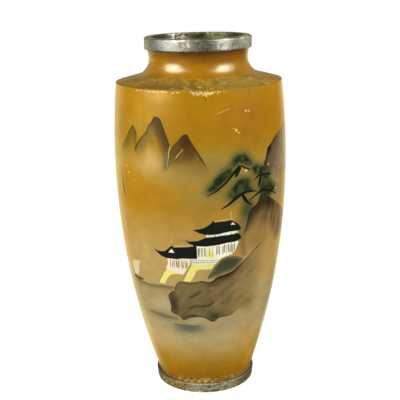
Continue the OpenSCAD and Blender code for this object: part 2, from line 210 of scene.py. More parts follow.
def away(line, az, z):
    """Distance in millimetres, along the wall, from each place to a line of points."""
    line = smooth(line, steps=4)
    k = np.radians(body_r(np.clip(z, 0, SHOULDER_Z)))
    best = np.full(len(az), 1e9)
    for a, b in zip(line[:-1], line[1:]):
        ax, ay = (az - a[0]) * k, z - a[1]
        bx, by = (b[0] - a[0]) * k, b[1] - a[1]
        t = np.clip((ax * bx + ay * by) / (bx * bx + by * by + 1e-9), 0, 1)
        best = np.minimum(best, np.hypot(ax - t * bx, ay - t * by))
    return best


def outside(outline, az, z):
    """How far each place lies outside a closed outline, in millimetres; less than 0 within it."""
    loop = smooth(outline, closed=True, steps=3)
    loop = np.vstack([loop, loop[:1]])
    lo, hi = loop.min(0) - 8, loop.max(0) + 8
    near = (az > lo[0]) & (az < hi[0]) & (z > lo[1]) & (z < hi[1])
    gap = np.full(len(az), 9.0)
    gap[near] = away(loop, az[near], z[near]) * np.where(inside(loop, az[near], z[near]), -1, 1)
    return gap


def below(line, az, z):
    """How far each place lies below a line that runs left to right, in millimetres."""
    line = smooth(line, steps=4)
    order = np.argsort(line[:, 0])
    return np.interp(az, line[order, 0], line[order, 1]) - z


# ---------------------------------------------------------------- mesh helpers
def linear(colour):
    """Linear light for 0 to 255 sRGB colours."""
    c = np.clip(np.asarray(colour, float) / 255, 0, 1)
    return np.where(c <= 0.04045, c / 12.92, ((c + 0.055) / 1.055) ** 2.4)


def mesh_piece(name, points, faces, material, colours=None, sharp=40, nodes=(), slot=None):
    """A piece from millimetre points: it rides on the vase and stands for the CAD nodes given."""
    mesh = bpy.data.meshes.new(name)
    mesh.from_pydata([tuple(p) for p in np.asarray(points) * MM], [], faces)
    mesh.validate()
    mesh.shade_smooth()
    mesh.set_sharp_from_angle(angle=math.radians(sharp))
    if colours is not None:
        layer = mesh.color_attributes.new("paint", "FLOAT_COLOR", "POINT")
        rgba = np.ones((len(points), 4), np.float32)
        rgba[:, :3] = linear(colours)
        layer.data.foreach_set("color", rgba.ravel())
    obj = bpy.data.objects.new(name, mesh)
    bpy.context.scene.collection.objects.link(obj)
    mesh.materials.append(material)
    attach(obj, "root")
    if nodes:
        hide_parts(*nodes)
    return obj


def turned(name, section, azimuths, material, shape=None, paint=None, **kw):
    """A solid of revolution of a closed section of (radius, height) points, anticlockwise.
    A section whose ends lie on the axis is closed there by two poles."""
    section = np.array(section, float)
    pole = section[0][0] < 1e-6 and section[-1][0] < 1e-6
    ring = section[1:-1] if pole else section
    az = np.array(azimuths, float)
    n, m = len(az), len(ring)
    a = np.tile(az, m)
    r = np.repeat(ring[:, 0], n)
    z = np.repeat(ring[:, 1], n)
    r2, z2 = shape(a, r, z) if shape else (r, z)
    points = np.stack(turned_places(a, r2, z2), 1)
    faces = []
    for i in range(m - 1 if pole else m):
        k = (i + 1) % m
        faces += [(i * n + j, i * n + (j + 1) % n, k * n + (j + 1) % n, k * n + j) for j in range(n)]
    colours = paint(a, z) if paint else None
    if pole:
        first, last = len(points), len(points) + 1
        points = np.vstack([points, [0, 0, section[0][1]], [0, 0, section[-1][1]]])
        faces += [(first, (j + 1) % n, j) for j in range(n)]
        faces += [(last, (m - 1) * n + j, (m - 1) * n + (j + 1) % n) for j in range(n)]
        if colours is not None:
            colours = np.vstack([colours, colours[0], colours[-1]])
    return mesh_piece(name, points, faces, material, colours, **kw)


def divided(points, step):
    """The same polyline with no stretch longer than step."""
    out = [np.array(points[0], float)]
    for a, b in zip(points[:-1], points[1:]):
        a, b = np.array(a, float), np.array(b, float)
        count = max(1, math.ceil(np.linalg.norm(b - a) / step))
        out += [a + (b - a) * t for t in np.arange(1, count + 1) / count]
    return np.array(out)


def divided_loop(points, step):
    """The same closed loop with no stretch longer than step."""
    return divided([*points, points[0]], step)[:-1]


def arc(centre, radius, start, stop, steps):
    """Points of an arc, with angles in degrees."""
    return [(centre[0] + radius * math.cos(t), centre[1] + radius * math.sin(t))
            for t in np.radians(np.linspace(start, stop, steps))]


def inside(outline, x, y):
    """Which points lie inside a closed outline."""
    hit = np.zeros(len(x), bool)
    p = np.asarray(outline)
    for a, b in zip(p, np.roll(p, -1, axis=0)):
        crosses = (a[1] > y) != (b[1] > y)
        with np.errstate(divide="ignore", invalid="ignore"):
            hit ^= crosses & (x < (b[0] - a[0]) * (y - a[1]) / (b[1] - a[1]) + a[0])
    return hit


def skins(az, z, lift, thick):
    """Points of an outer skin on the wall, then those of an inner one, thick millimetres below it."""
    return np.vstack([np.stack(turned_places(az, body_r(z) + out, z), 1) for out in (lift, lift - thick)])


def patch_mesh(outline, lift, grid):
    """Points, faces and places of one thin closed cell with its outline on the wall."""
    outline = np.array(outline, float)
    k = math.radians(float(body_r(outline[:, 1].mean())))
    flat = outline * (k, 1)
    edge = divided_loop(flat, min(grid, EDGE_STEP))
    lo, hi = edge.min(0), edge.max(0)
    gx, gy = np.meshgrid(np.arange(lo[0], hi[0], grid), np.arange(lo[1], hi[1], grid * 0.87))
    gx[1::2] += grid / 2
    gx, gy = gx.ravel(), gy.ravel()
    keep = inside(edge, gx, gy)
    gx, gy = gx[keep], gy[keep]
    if len(gx):
        gap = np.min(np.hypot(gx[:, None] - edge[:, 0], gy[:, None] - edge[:, 1]), axis=1)
        gx, gy = gx[gap > grid * 0.45], gy[gap > grid * 0.45]
    verts = [Vector(p) for p in edge] + [Vector(p) for p in zip(gx, gy)]
    loop = list(range(len(edge)))
    links = list(zip(loop, loop[1:] + loop[:1]))
    placed, _, tris, _, _, _ = delaunay_2d_cdt(verts, links, [loop], 1, 1e-6)
    placed = np.array([tuple(v) for v in placed])
    az, z = placed[:, 0] / k, placed[:, 1]
    n = len(az)
    points = skins(az, z, lift, CELL_THICK)
    area = sum(np.cross(placed[t[1]] - placed[t[0]], placed[t[2]] - placed[t[0]]) for t in tris)
    tops = [tuple(t) if area > 0 else tuple(t)[::-1] for t in tris]
    faces = tops + [tuple(i + n for i in t[::-1]) for t in tops]
    used = {(t[i], t[(i + 1) % 3]) for t in tops for i in range(3)}
    faces += [(b, a, a + n, b + n) for a, b in used if (b, a) not in used]
    return points, faces, np.tile(az, 2), np.tile(z, 2)


def stroke_mesh(line, lift):
    """Points, faces and places of one closed ribbon along [azimuth, height, width] points."""
    line = smooth(line) if len(line) > 2 else divided(line, 2)
    k = np.radians(body_r(line[:, 1]))
    path = np.stack([line[:, 0] * k.mean(), line[:, 1]], 1)
    along = np.gradient(path, axis=0)
    along /= np.linalg.norm(along, axis=1)[:, None] + 1e-9
    side = np.stack([-along[:, 1], along[:, 0]], 1) * line[:, 2:3] / 2
    edge = np.vstack([path + side, path - side])
    az, z = edge[:, 0] / k.mean(), edge[:, 1]
    n = len(line)
    points = skins(az, z, lift, STROKE_THICK)
    faces = []
    for i in range(n - 1):
        l, r, down = i, n + i, 2 * n
        faces += [(l, r, r + 1, l + 1), (l + down, l + 1 + down, r + 1 + down, r + down),
                  (l, l + 1, l + 1 + down, l + down), (r + 1, r, r + down, r + 1 + down)]
    faces += [(0, 2 * n, 3 * n, n), (n - 1, 2 * n - 1, 4 * n - 1, 3 * n - 1)]
    return points, faces, np.tile(az, 2), np.tile(z, 2)


def joined(name, parts, paint, material, **kw):
    """One piece from several closed islands."""
    points, island_faces, az, z = zip(*parts)
    faces = []
    count = 0
    for island, found in zip(points, island_faces):
        faces += [tuple(i + count for i in face) for face in found]
        count += len(island)
    colours = paint(np.concatenate(az), np.concatenate(z))
    return mesh_piece(name, np.vstack(points), faces, material, colours, **kw)


def cells(name, outlines, paint, lift, rounded=True, grid=CELL_GRID, **kw):
    """Enamel that fills the outlines, which are smoothed when rounded."""
    loops = [smooth(o, closed=True, steps=5) if rounded else o for o in outlines]
    return joined(name, [patch_mesh(loop, lift, grid) for loop in loops], paint, CELL_ENAMEL, **kw)


def strokes(name, lines, paint, lift=WIRE_LIFT, material=None, **kw):
    """Ribbons along the lines, of enamel unless another material is given."""
    return joined(name, [stroke_mesh(line, lift) for line in lines], paint, material or CELL_ENAMEL, **kw)


def wired(line, width):
    """An even wire along a line of (azimuth, height) points."""
    return [[p[0], p[1], width] for p in line]


# ---------------------------------------------------------------- materials
class Nodes:
    """A short way to build the node tree of a material or of the world."""

    def __init__(self, owner, shader="Principled BSDF", place="Object"):
        owner.use_nodes = True
        self.tree = owner.node_tree
        self.shader = self.tree.nodes[shader]
        self.place = self.tree.nodes.new("ShaderNodeTexCoord").outputs[place]

    def add(self, kind, **values):
        """A new node with these values for its settings or its inputs."""
        node = self.tree.nodes.new(kind)
        for key, value in values.items():
            if hasattr(node, key):
                setattr(node, key, value)
            else:
                self.put(node.inputs[key.replace("_", " ")], value)
        return node

    def put(self, socket, value):
        """Links a socket to an output, or gives it a constant."""
        if isinstance(value, bpy.types.NodeSocket):
            self.tree.links.new(value, socket)
        else:
            socket.default_value = value

    def set(self, **values):
        """Gives the shader's inputs these values."""
        for key, value in values.items():
            self.put(self.shader.inputs[key.replace("_", " ")], value)

    def split(self, vector):
        """The outputs X, Y and Z of a vector."""
        node = self.add("ShaderNodeSeparateXYZ")
        self.put(node.inputs[0], vector)
        return node.outputs

    def around(self, turns, rise):
        """A place in which azimuth and height are scaled apart, for marks that run round the axis."""
        place = self.split(self.place)
        angle = self.math("ARCTAN2", place["X"], place["Y"])
        flat = self.add("ShaderNodeCombineXYZ")
        self.put(flat.inputs["X"], self.math("MULTIPLY", angle, turns))
        self.put(flat.inputs["Y"], self.math("MULTIPLY", place["Z"], rise))
        return flat.outputs[0]

    def math(self, operation, a, b, c=0.0):
        node = self.add("ShaderNodeMath", operation=operation)
        for socket, value in zip(node.inputs, (a, b, c)):
            self.put(socket, value)
        return node.outputs[0]

    def noise(self, scale, detail, rough, vector=None):
        node = self.add("ShaderNodeTexNoise", Scale=scale, Detail=detail, Roughness=rough)
        self.put(node.inputs["Vector"], vector or self.place)
        return node.outputs["Fac"]

    def spots(self, scale):
        node = self.add("ShaderNodeTexVoronoi", Scale=scale)
        self.put(node.inputs["Vector"], self.place)
        return node.outputs["Distance"]

    def ramp(self, value, lo, hi, out_lo=0.0, out_hi=1.0, kind="LINEAR"):
        """out_lo up to lo, out_hi from hi on, and a slope between them."""
        node = self.add("ShaderNodeMapRange", interpolation_type=kind, Value=value, From_Min=lo,
                        From_Max=hi, To_Min=out_lo, To_Max=out_hi)
        return node.outputs[0]

    def spread(self, noise, lo, hi):
        """Noise stretched so that it swings between two values."""
        return self.ramp(noise, 0.3, 0.7, lo, hi)

    def blend(self, factor, a, b, kind="MIX"):
        node = self.add("ShaderNodeMix", data_type="RGBA", blend_type=kind)
        self.put(node.inputs[0], factor)
        colours = [i for i in node.inputs if i.type == "RGBA"]
        self.put(colours[0], a)
        self.put(colours[1], b)
        return next(o for o in node.outputs if o.type == "RGBA")

    def bump(self, height, depth, normal=None):
        """Bump of a height from 0 to 1 that stands for depth millimetres."""
        node = self.add("ShaderNodeBump", Strength=1.0, Distance=depth * MM)
        self.put(node.inputs["Height"], height)
        if normal:
            self.put(node.inputs["Normal"], normal)
        return node.outputs["Normal"]

    def painted(self):
        """The colour that the piece was painted with."""
        return self.add("ShaderNodeAttribute", attribute_name="paint").outputs["Color"]

    def by_ray(self, ray, value, otherwise):
        """value for one kind of ray, such as Is Camera Ray, and otherwise for the rest."""
        node = self.add("ShaderNodeMix")
        self.put(node.inputs[0], self.add("ShaderNodeLightPath").outputs[ray])
        self.put(node.inputs[2], otherwise)
        self.put(node.inputs[3], value)
        return node.outputs[0]

    def tinted(self, ray, seen, otherwise):
        """A colour that is seen for one kind of ray and otherwise for the rest."""
        node = self.add("ShaderNodeCombineColor")
        for channel, a, b in zip(("Red", "Green", "Blue"), seen, otherwise):
            self.put(node.inputs[channel], self.by_ray(ray, a, b))
        return node.outputs[0]


def rgb(*c):
    return (*[float(x) for x in linear(c)], 1.0)


def enamel(name, mottle, scuffed=None):
    """Fired enamel: the painted colour, mottled a little, under a worn gloss. Below the height scuffed
    the gloss is dull, and it clears over the next 4 mm."""
    material = bpy.data.materials.new(name)
    m = Nodes(material)
    paint = m.painted()
    soft = m.spread(m.noise(90, 5, 0.6), 1 - mottle, 1 + mottle)
    fine = m.spread(m.noise(700, 3, 0.7), -0.05, 0.05)
    m.set(Base_Color=m.blend(1.0, paint, m.math("ADD", soft, fine), "MULTIPLY"))
    rough = m.spread(m.noise(260, 4, 0.65), 0.17, 0.23)
    m.set(Specular_IOR_Level=0.5)
    if scuffed:
        height = m.split(m.place)["Z"]
        start, stop = scuffed * MM, (scuffed + 4) * MM
        m.set(Specular_IOR_Level=m.ramp(height, start, stop, 0.16, 0.5))
        rough = m.ramp(height, start, stop, 0.42, rough)
    m.set(Roughness=rough)
    ripple = m.bump(m.noise(170, 2, 0.5), 0.08)
    m.set(Normal=m.bump(m.noise(1500, 2, 0.5), 0.008, ripple))
    return material


def worn_metal(name, dirt, rough, metallic=0.95, lines=3600, pits=900):
    """Turned metal in its painted tone: fine lines round the axis, pits and tarnish."""
    material = bpy.data.materials.new(name)
    m = Nodes(material)
    brushed = m.noise(1.0, 3, 0.7, m.around(9, lines))
    grit = m.noise(480, 4, 0.75)
    pit = m.ramp(m.spots(pits), 0.10, 0.3, 1.0, 0.0)
    shade = m.math("ADD", m.spread(brushed, 0.88, 1.12), m.spread(grit, -0.2, 0.2))
    base = m.blend(1.0, m.painted(), shade, "MULTIPLY")
    grime = m.ramp(m.math("ADD", m.noise(70, 5, 0.65), m.math("MULTIPLY", grit, 0.5)), 0.72, 0.95)
    hidden = m.math("MAXIMUM", m.math("MULTIPLY", grime, 0.55), m.math("MULTIPLY", pit, 0.6))
    m.set(Base_Color=m.blend(hidden, base, rgb(*dirt)))
    m.set(Metallic=m.ramp(hidden, 0.0, 1.0, metallic, metallic * 0.4))
    m.set(Roughness=m.spread(grit, rough - 0.08, rough + 0.12))
    turned_lines = m.bump(brushed, 0.03)
    m.set(Normal=m.bump(m.math("SUBTRACT", grit, m.math("MULTIPLY", pit, 0.8)), 0.16, turned_lines))
    return material


def copper(name, tone):
    """Hammered copper, browned by age; it only shows where the coats are gone."""
    material = bpy.data.materials.new(name)
    m = Nodes(material)
    cloud = m.noise(120, 5, 0.6)
    dents = m.spots(160)
    m.set(Base_Color=m.blend(m.ramp(cloud, 0.35, 0.65), rgb(*tone), rgb(96, 58, 34)), Metallic=1.0)
    m.set(Roughness=m.spread(cloud, 0.3, 0.55), Normal=m.bump(dents, 0.1))
    return material


def dark_glaze(name, tone, fleck, amount):
    """Counter enamel: dark and mottled, with fallen flecks."""
    material = bpy.data.materials.new(name)
    m = Nodes(material)
    cloud = m.noise(70, 6, 0.65)
    base = m.blend(m.ramp(cloud, 0.35, 0.7), rgb(*tone), rgb(*[min(255, t * 1.9) for t in tone]))
    flecks = m.ramp(m.noise(210, 6, 0.75), amount, amount + 0.05)
    m.set(Base_Color=m.blend(flecks, base, rgb(*fleck)))
    m.set(Roughness=m.spread(cloud, 0.35, 0.7), Normal=m.bump(m.noise(330, 5, 0.7), 0.2))
    return material


# ---------------------------------------------------------------- the drawing's outlines
FAR_CREST = [(-62, 219), (-57, 226), (-53, 232), (-50, 236.5), (-48, 239.5), (-46, 237), (-44, 231.5)]
TALL_CREST = [(-46, 219.5), (-42, 228), (-38, 233), (-35.5, 236), (-34.5, 241), (-33, 242), (-31, 245),
              (-29.5, 248), (-25.5, 246.5), (-23, 239.5), (-20, 230), (-19, 225.5)]
NEAR_CREST = [(-18.5, 223.5), (-14, 230), (-11.5, 233.5), (-9.5, 235), (-7.5, 234.5), (-6, 230.5),
              (-1, 220), (3, 211)]
PEAK_GULLY = [(-19, 225.5), (-20, 217), (-21, 208)]
NEAR_CREASE = [(-10.5, 223.5), (-13, 220), (-15.5, 216)]
MOUNTAIN_CREST = [(44, 205.5), (45, 209.5), (46.6, 215), (47.8, 219), (51, 221.5), (56, 226),
                  (62, 229), (68, 232.5), (76, 234)]
MOUNTAIN_BACK = [(60, 229), (68, 232.5), (74, 233), (80, 226), (87, 215), (94, 207), (104, 196)]
ROCK_CREST = [(27.5, 149), (29, 155), (31, 164), (32, 169.5), (36, 173), (39, 176.5), (41, 180.5),
              (46, 180), (52, 176), (60, 169.5), (70, 162), (80, 156)]
LEDGE_TOP = [(-27, 98), (-22, 103.5), (-20.5, 107), (-18, 111), (-15, 112), (-10, 111.3), (-5, 112),
             (-1, 113), (4, 111.8), (7, 113), (10, 116), (20, 119.5), (25, 124), (33, 131), (37, 135),
             (46, 141)]
LEDGE_FOOT = [(50, 90), (32, 84.5), (24, 80), (21, 78), (12, 77), (9, 74.2), (5.5, 74), (1, 77.5),
              (-4, 78.6), (-10, 78), (-16.5, 75), (-19.5, 78.5), (-26.5, 81.5), (-26, 87), (-27, 95)]
LEDGE_CRACKS = [[(-10, 98.5), (-6, 101), (-2.5, 104)],
                [(-11, 87.5), (-7, 90), (0, 90), (4, 91), (7, 93.5)],
                [(-17, 78), (-12, 80.5), (-6, 81)]]
MOSS = [(3.6, 114.4), (3.6, 117), (6, 122), (9.5, 127), (13, 131.5), (17, 133), (22, 133), (27, 131),
        (28.5, 128.5), (25.6, 125), (20.4, 120.4), (14.4, 118.2), (8.6, 116)]
UPPER_ROOF = [(-6, 157.6), (0.5, 159.2), (4, 161.4), (6, 163.6), (7, 165.4), (8, 163.7), (19, 164.4),
              (21, 163.2), (24.2, 160.2), (26, 157), (24.6, 154.8), (19, 154.9), (14, 154.4), (11, 153.5),
              (6, 153.2), (2, 153.6), (-2, 155.3)]
MIDDLE_ROOF = [(-11.5, 149.4), (-9, 147.9), (-3, 148.5), (2.5, 151.3), (13, 152.1), (20, 152.4), (23, 153),
               (24.6, 152.2), (26.5, 149.2), (26, 147.6), (22, 145.6), (16, 145.4), (10, 144.2), (2, 143.5),
               (-3.4, 143.9), (-8, 145.6), (-10, 147.3)]
LOWER_ROOF = [(-34.5, 139.2), (-31.5, 137.6), (-28, 137.4), (-25.5, 138.5), (-22, 142.3), (-20.7, 143.7),
              (-19.4, 142.1), (-12, 142.8), (-6, 143.8), (-5.6, 145.6), (-3.8, 145.6), (-3.7, 132.8),
              (-14, 132.8), (-17, 132), (-25, 132), (-29, 133.3), (-32, 136)]
LOWER_GABLE = [(-23.3, 137.4), (-20.8, 140.9), (-18.9, 137.3)]
UPPER_GABLE = [(18.4, 160.6), (19.8, 162.6), (21.8, 160.4)]
CLERESTORY = [(2.5, 150), (2.5, 155), (23.5, 156.5), (24, 151.2), (13, 150.8)]
HALL_WALLS = [(-4.6, 133.6), (-4.6, 144.5), (22.8, 146.4), (24.6, 145.4), (22.5, 138.5), (20, 135.2),
              (15, 133.6), (12.5, 132.5), (8.2, 127.7), (-7.5, 127.7), (-8.5, 133.6)]
SIDE_WALLS = [(-24.5, 132.6), (-17, 133.6), (-8.6, 133.6), (-8.5, 129), (-10.5, 124), (-13.8, 118.4),
              (-18, 118.8), (-18, 120.6), (-26, 121.6), (-26, 123.5), (-24.6, 127)]
LEFT_TERRACE = [(-34, 108), (-31, 113.5), (-28, 119), (-26, 121.5), (-18, 120.5), (-17.6, 118.6),
                (-21, 118.2), (-24, 116.5), (-26.5, 113), (-28.5, 108)]
RIGHT_TERRACE = [(-14.3, 112.3), (-12.5, 116.5), (-9.5, 123.5), (-7.6, 127.6), (8.1, 127.6), (6, 123.4),
                 (-3, 123.2), (-4.7, 122), (-6.7, 116.5), (-9, 112.3)]
RIDGES = [[(-18.5, 143.2), (-6.4, 144.3)], [(8.4, 164.8), (19.6, 165.5)]]
FINIALS = [[(-20.7, 144.4), (-20.5, 150.4)], [(7.4, 166.2), (8, 172)], [(19, 166.2), (18.8, 172)]]
BRANCHES = [
    [(3.5, 185.8, 0.5), (9, 189.2, 1.1), (14, 194, 1.4), (18, 199, 1.6), (21, 203.4, 2.2), (25, 208, 2.6)],
    [(25.2, 208.2, 1.6), (29, 205.8, 1.3), (32.5, 204, 0.6)],
    [(24.8, 207, 3.0), (23, 202.5, 3.2), (21.8, 199.4, 1.4)],
    [(35.5, 194.6, 0.5), (38, 197.2, 1.3), (41.5, 198.2, 1.8), (46, 197.4, 1.5), (51, 196.6, 0.7)],
    [(41, 197.6, 2), (40, 193.2, 2.8), (39.2, 188.8, 1.4)],
    [(12, 174.2, 0.6), (16.5, 177.2, 1.7), (20.5, 180.8, 2.2), (26, 185, 2.5), (29, 186.2, 2),
     (33, 186.2, 1.5), (38, 185.2, 0.7)],
    [(26.3, 185.4, 1.8), (28, 181.5, 2.8), (30, 178, 2.4), (33.5, 174.6, 0.8)],
    [(31.5, 178.8, 0.6), (37, 182.3, 1.5), (42, 184.8, 2), (47, 184, 1.9), (53, 181, 1.3), (58, 178, 0.6)]]
NEEDLE_CLOUDS = [
    [(4, 189.5), (6, 194.5), (9, 199.5), (12.5, 203.5), (15.5, 206.5), (19, 207.5), (19.5, 203),
     (16.5, 198.8), (12.5, 194.5), (8.5, 190)],
    [(19.5, 210.5), (21, 214.5), (25, 217.3), (29, 216.5), (32, 212.5), (34, 208.5), (31.5, 206.8),
     (27.5, 209.8), (24, 210), (21, 208)],
    [(33.5, 204.5), (37, 207), (43, 205), (48, 203.5), (50, 199), (49, 193), (44, 193), (41, 196),
     (36, 199.5)],
    [(17, 184.5), (19, 190), (23.5, 196.5), (28, 198), (32.5, 195.5), (32, 191), (34, 187.4), (29, 186.5),
     (25, 185.6), (21, 182)],
    [(40, 189), (43, 193.5), (48, 192.5), (52, 189), (56, 184), (52, 181.5), (47, 176.5), (42, 178)]]
# Needles tried in one degree by one millimetre
NEEDLE_DENSITY = 3.4
SAIL = [(-62.5, 119), (-59, 121.4), (-51, 123.5), (-53.5, 116.5), (-56, 109), (-60.5, 109.2),
        (-62.5, 114)]
HULL = [(-64, 105.2), (-61, 107.4), (-57, 106.9), (-50, 107), (-53, 105.2), (-59, 104.6)]
SHORE = [(-56, 104.2), (-48, 104.2), (-40, 104.4), (-32, 105.7), (-23.2, 106.3)]
RIPPLES = [[(-49, 77), (-42, 76.4), (-32, 76), (-23, 75.4)],
           [(-25, 70), (-18, 69.6), (-10, 69.4), (-4, 69.9)]]
DOOR = [(2, 133.6), (8, 133.8), (5.4, 141), (4.8, 141)]
SIDE_DOOR = [(-17, 126), (-14.6, 126), (-15.6, 130)]
TERRACE_RAILS = [[(-34.3, 107.6), (-31.3, 113.5), (-28.3, 119.2), (-26.4, 121.9)],
                 [(-14.6, 112.4), (-12.9, 116.5), (-9.9, 123.5), (-8.4, 127)]]
TWIGS = [[(26.5, 207), (28.5, 203.6), (30, 202.8)], [(50, 195), (55, 191), (60, 186)]]
RAIL = [(-59.6, 108.4), (-53, 109.4), (-49.5, 110.6)]
# Azimuths of the screens and of the ticks on the hall's walls and on its side walls
FAINT_AZ = (-3, -0.8, 1.2, 9.2, 11.2, 13.4, 16, 18.4, 20.4)
DARK_AZ = (-2, 10.2, 14.6, 17.2, 19.4, 21.6)
SIDE_AZ = (-20.8, -18, -13.4, -11)
RED_STROKE = [(-62.5, 193, 0.4), (-61.5, 187, 1.6), (-60, 180, 1.3), (-59.5, 177, 0.3)]
OLIVE_STROKES = [[(-62.5, 204, 0.3), (-62, 198, 0.7), (-62, 193, 0.3)],
                 [(-57, 199, 0.3), (-56, 193, 0.8), (-56.5, 187, 0.3)]]
SCRATCHES = [[(9, 249.2, 0.2), (12, 250.6, 0.45), (15.5, 252, 0.35), (19, 253.6, 0.5)],
             [(8.4, 248.6, 0.2), (8.9, 247.4, 0.25), (8.6, 246, 0.15)]]
# Chips: azimuth, height, degrees wide and millimetres tall
PALE_GAPS = [(29, 203.8, 3.4, 2.6), (-55, 205.5, 1.6, 2.2), (-53, 200, 1.2, 1.8), (-47, 195, 1.0, 1.4),
             (48, 205, 1.6, 1.6), (62, 199, 1.8, 1.4), (57, 183, 1.6, 1.6), (59, 190, 1.4, 1.2)]
SMALL_CHIPS = [
    (-44, 266.8, 2.6, 1.5), (-41, 267.1, 2, 1.0), (-37, 267.1, 1.8, 0.9), (-35, 266.9, 2.6, 1.1),
    (-33, 266.8, 3.4, 1.4), (-30, 267, 3.2, 1.3), (-27, 266.8, 3.6, 1.5), (-24, 267, 3.2, 1.3),
    (-21.5, 266.8, 2.6, 1.4), (-17, 266.6, 3.4, 1.8), (-13.4, 266.8, 2.4, 1.3), (10, 266.6, 1.8, 0.9),
    (12, 267, 1.6, 0.8), (13.4, 266.2, 1.4, 0.8), (16, 266.8, 1.4, 0.9), (30, 251, 3.2, 2.2),
    (32.4, 250.4, 1.8, 1.4), (23, 236.5, 2.4, 2.8), (24.6, 234.4, 1.8, 1.8), (36, 263, 0.6, 0.5),
    (21, 238, 0.9, 0.8)]
BROKEN_CHIPS = [(2.4, 264.4, 2.2, 1.4), (4.6, 264, 2, 1.2), (9.8, 266.6, 2, 1.2), (11.6, 265.8, 1.6, 1.4),
                (13.2, 266.7, 1.8, 1.0)]
PITS = [(3.4, 262.6, 1.2, 1.2), (4, 260.8, 1.4, 0.8), (3.2, 259.6, 0.8, 0.7)]


# ---------------------------------------------------------------- the painting
# Millimetres of wall in one degree, about
DEGREE_MM = 1.5
# Tones of the ground by height
GROUND = [(8, (148, 98, 0)), (20, (162, 110, 0)), (28, (172, 122, 8)), (36, (180, 138, 50)),
          (46, (188, 156, 88)), (56, (192, 168, 112)), (68, (178, 158, 108)), (82, (178, 158, 108)),
          (95, (182, 156, 100)), (112, (192, 160, 94)), (130, (193, 158, 86)), (145, (188, 150, 72)),
          (158, (186, 147, 60)), (168, (184, 140, 42)), (178, (181, 134, 26)), (190, (182, 136, 32)),
          (205, (180, 146, 62)), (216, (172, 136, 42)), (228, (170, 124, 2)), (245, (174, 121, 0)),
          (268, (178, 126, 0))]
# Soft sprayed clouds on the ground, and some painted light and shade: centre, size, tone and strength
CLOUDS_AND_PAINTED_LIGHT = [
    ((-42, 184), (22, 13), (184, 128, 0), 0.95), ((-52, 200), (12, 10), (188, 134, 6), 0.8),
    ((-33, 209), (12, 8), (208, 170, 92), 0.95), ((-12, 202), (14, 9), (176, 144, 66), 0.7),
    ((2, 186), (14, 16), (168, 138, 60), 0.8), ((12, 214), (12, 8), (160, 136, 60), 0.7),
    ((0, 207), (13, 6), (142, 114, 46), 0.6), ((28, 192), (13, 9), (106, 98, 48), 0.7),
    ((18, 186), (9, 6), (124, 112, 50), 0.5), ((41, 56), (12, 14), (190, 142, 64), 0.6),
    # Painted highlight: these two are the softbox's glow on the upper left of the body
    ((-34, 252), (15, 20), (196, 144, 10), 0.9), ((-26, 264), (9, 7), (208, 160, 62), 0.9),
    ((-45, 240), (8, 9), (188, 146, 50), 0.7), ((38, 242), (18, 24), (162, 104, 0), 0.7),
    ((-40, 134), (22, 16), (198, 164, 94), 0.6), ((46, 120), (18, 18), (176, 142, 78), 0.8),
    ((41, 146), (13, 12), (142, 110, 58), 0.8), ((-45, 96), (26, 8), (170, 150, 102), 0.6),
    ((-28, 88), (14, 6), (186, 172, 128), 0.7),
    ((-36, 76), (15, 4), (132, 120, 78), 0.8), ((-13, 66), (13, 5), (128, 130, 96), 0.9),
    ((34, 86), (9, 6), (146, 120, 66), 0.8), ((-4, 75), (10, 4), (178, 162, 116), 0.8),
    # Painted light: the next three make the lower left and right edges paler; the last is painted shade,
    # darker at the far left edge
    ((-60, 50), (14, 14), (206, 172, 108), 0.7), ((-64, 22), (16, 14), (200, 156, 80), 0.8),
    ((64, 26), (16, 14), (200, 154, 78), 0.8), ((-74, 138), (12, 34), (176, 124, 34), 0.6)]
# Tints round the collar, and how much lighter or darker it is: azimuth, spread and tint or change. The
# front's dark tint and all the changes in lightness are painted highlights and shade.
COLLAR_TONES = ((-38, 16, (118, 124, 142)), (24, 14, (130, 136, 154)), (6, 13, (88, 86, 92)))
COLLAR_LIGHTS = ((-46, 15, -0.26), (-8, 8, 0.12), (12, 7, -0.12), (42, 8, -0.2), (60, 9, 0.25))


class Coat:
    """Paint at places on the wall: a first tone, then one tint over another."""

    def __init__(self, az, z, tone):
        self.az, self.z = az, z
        self.tones = np.zeros((len(az), 3)) + tone

    def tint(self, tone, mask):
        self.tones = mix(self.tones, tone, mask)

    def dab(self, at, size, tone, strength, firm=2.0):
        """A soft round dab."""
        self.tint(tone, strength * blob(self.az, self.z, at, size, firm))

    def line(self, line, tone, strength, width):
        """A soft line."""
        self.tint(tone, strength * np.exp(-((away(line, self.az, self.z) / width) ** 2)))

    def edge(self, line, tone, strength, wide, full):
        """Both sides of a line, from nothing wide millimetres away to full strength."""
        self.tint(tone, strength * fade(away(line, self.az, self.z), wide, full))

    def crest(self, line, tone, strength, wide, full):
        """The stretch under a line, from nothing wide millimetres below it to full strength."""
        self.tint(tone, strength * fade(below(line, self.az, self.z), wide, full))

    def brush(self, tone, turn, strength, seed, long=14, fine=2.4):
        """Soft brush strokes that run at turn degrees from level."""
        t = math.radians(turn)
        x, z = self.az * DEGREE_MM, self.z
        along, across = x * math.cos(t) + z * math.sin(t), z * math.cos(t) - x * math.sin(t)
        self.tint(tone, strength * fade(cloudy(along / long, across / fine, 0, seed), 0.35, 0.8))

    def specks(self, tone, strength, wide, tall, seed, none, full):
        """Uneven specks about wide degrees by tall millimetres, where the noise passes none."""
        self.tint(tone, strength * fade(cloudy(self.az / wide, self.z / tall, 0, seed), none, full))


def needle_gaps(az, z):
    """Noise that thins out the needles and the shade behind them alike."""
    return cloudy(az / 2.4, z / 2.6, 0, 61)


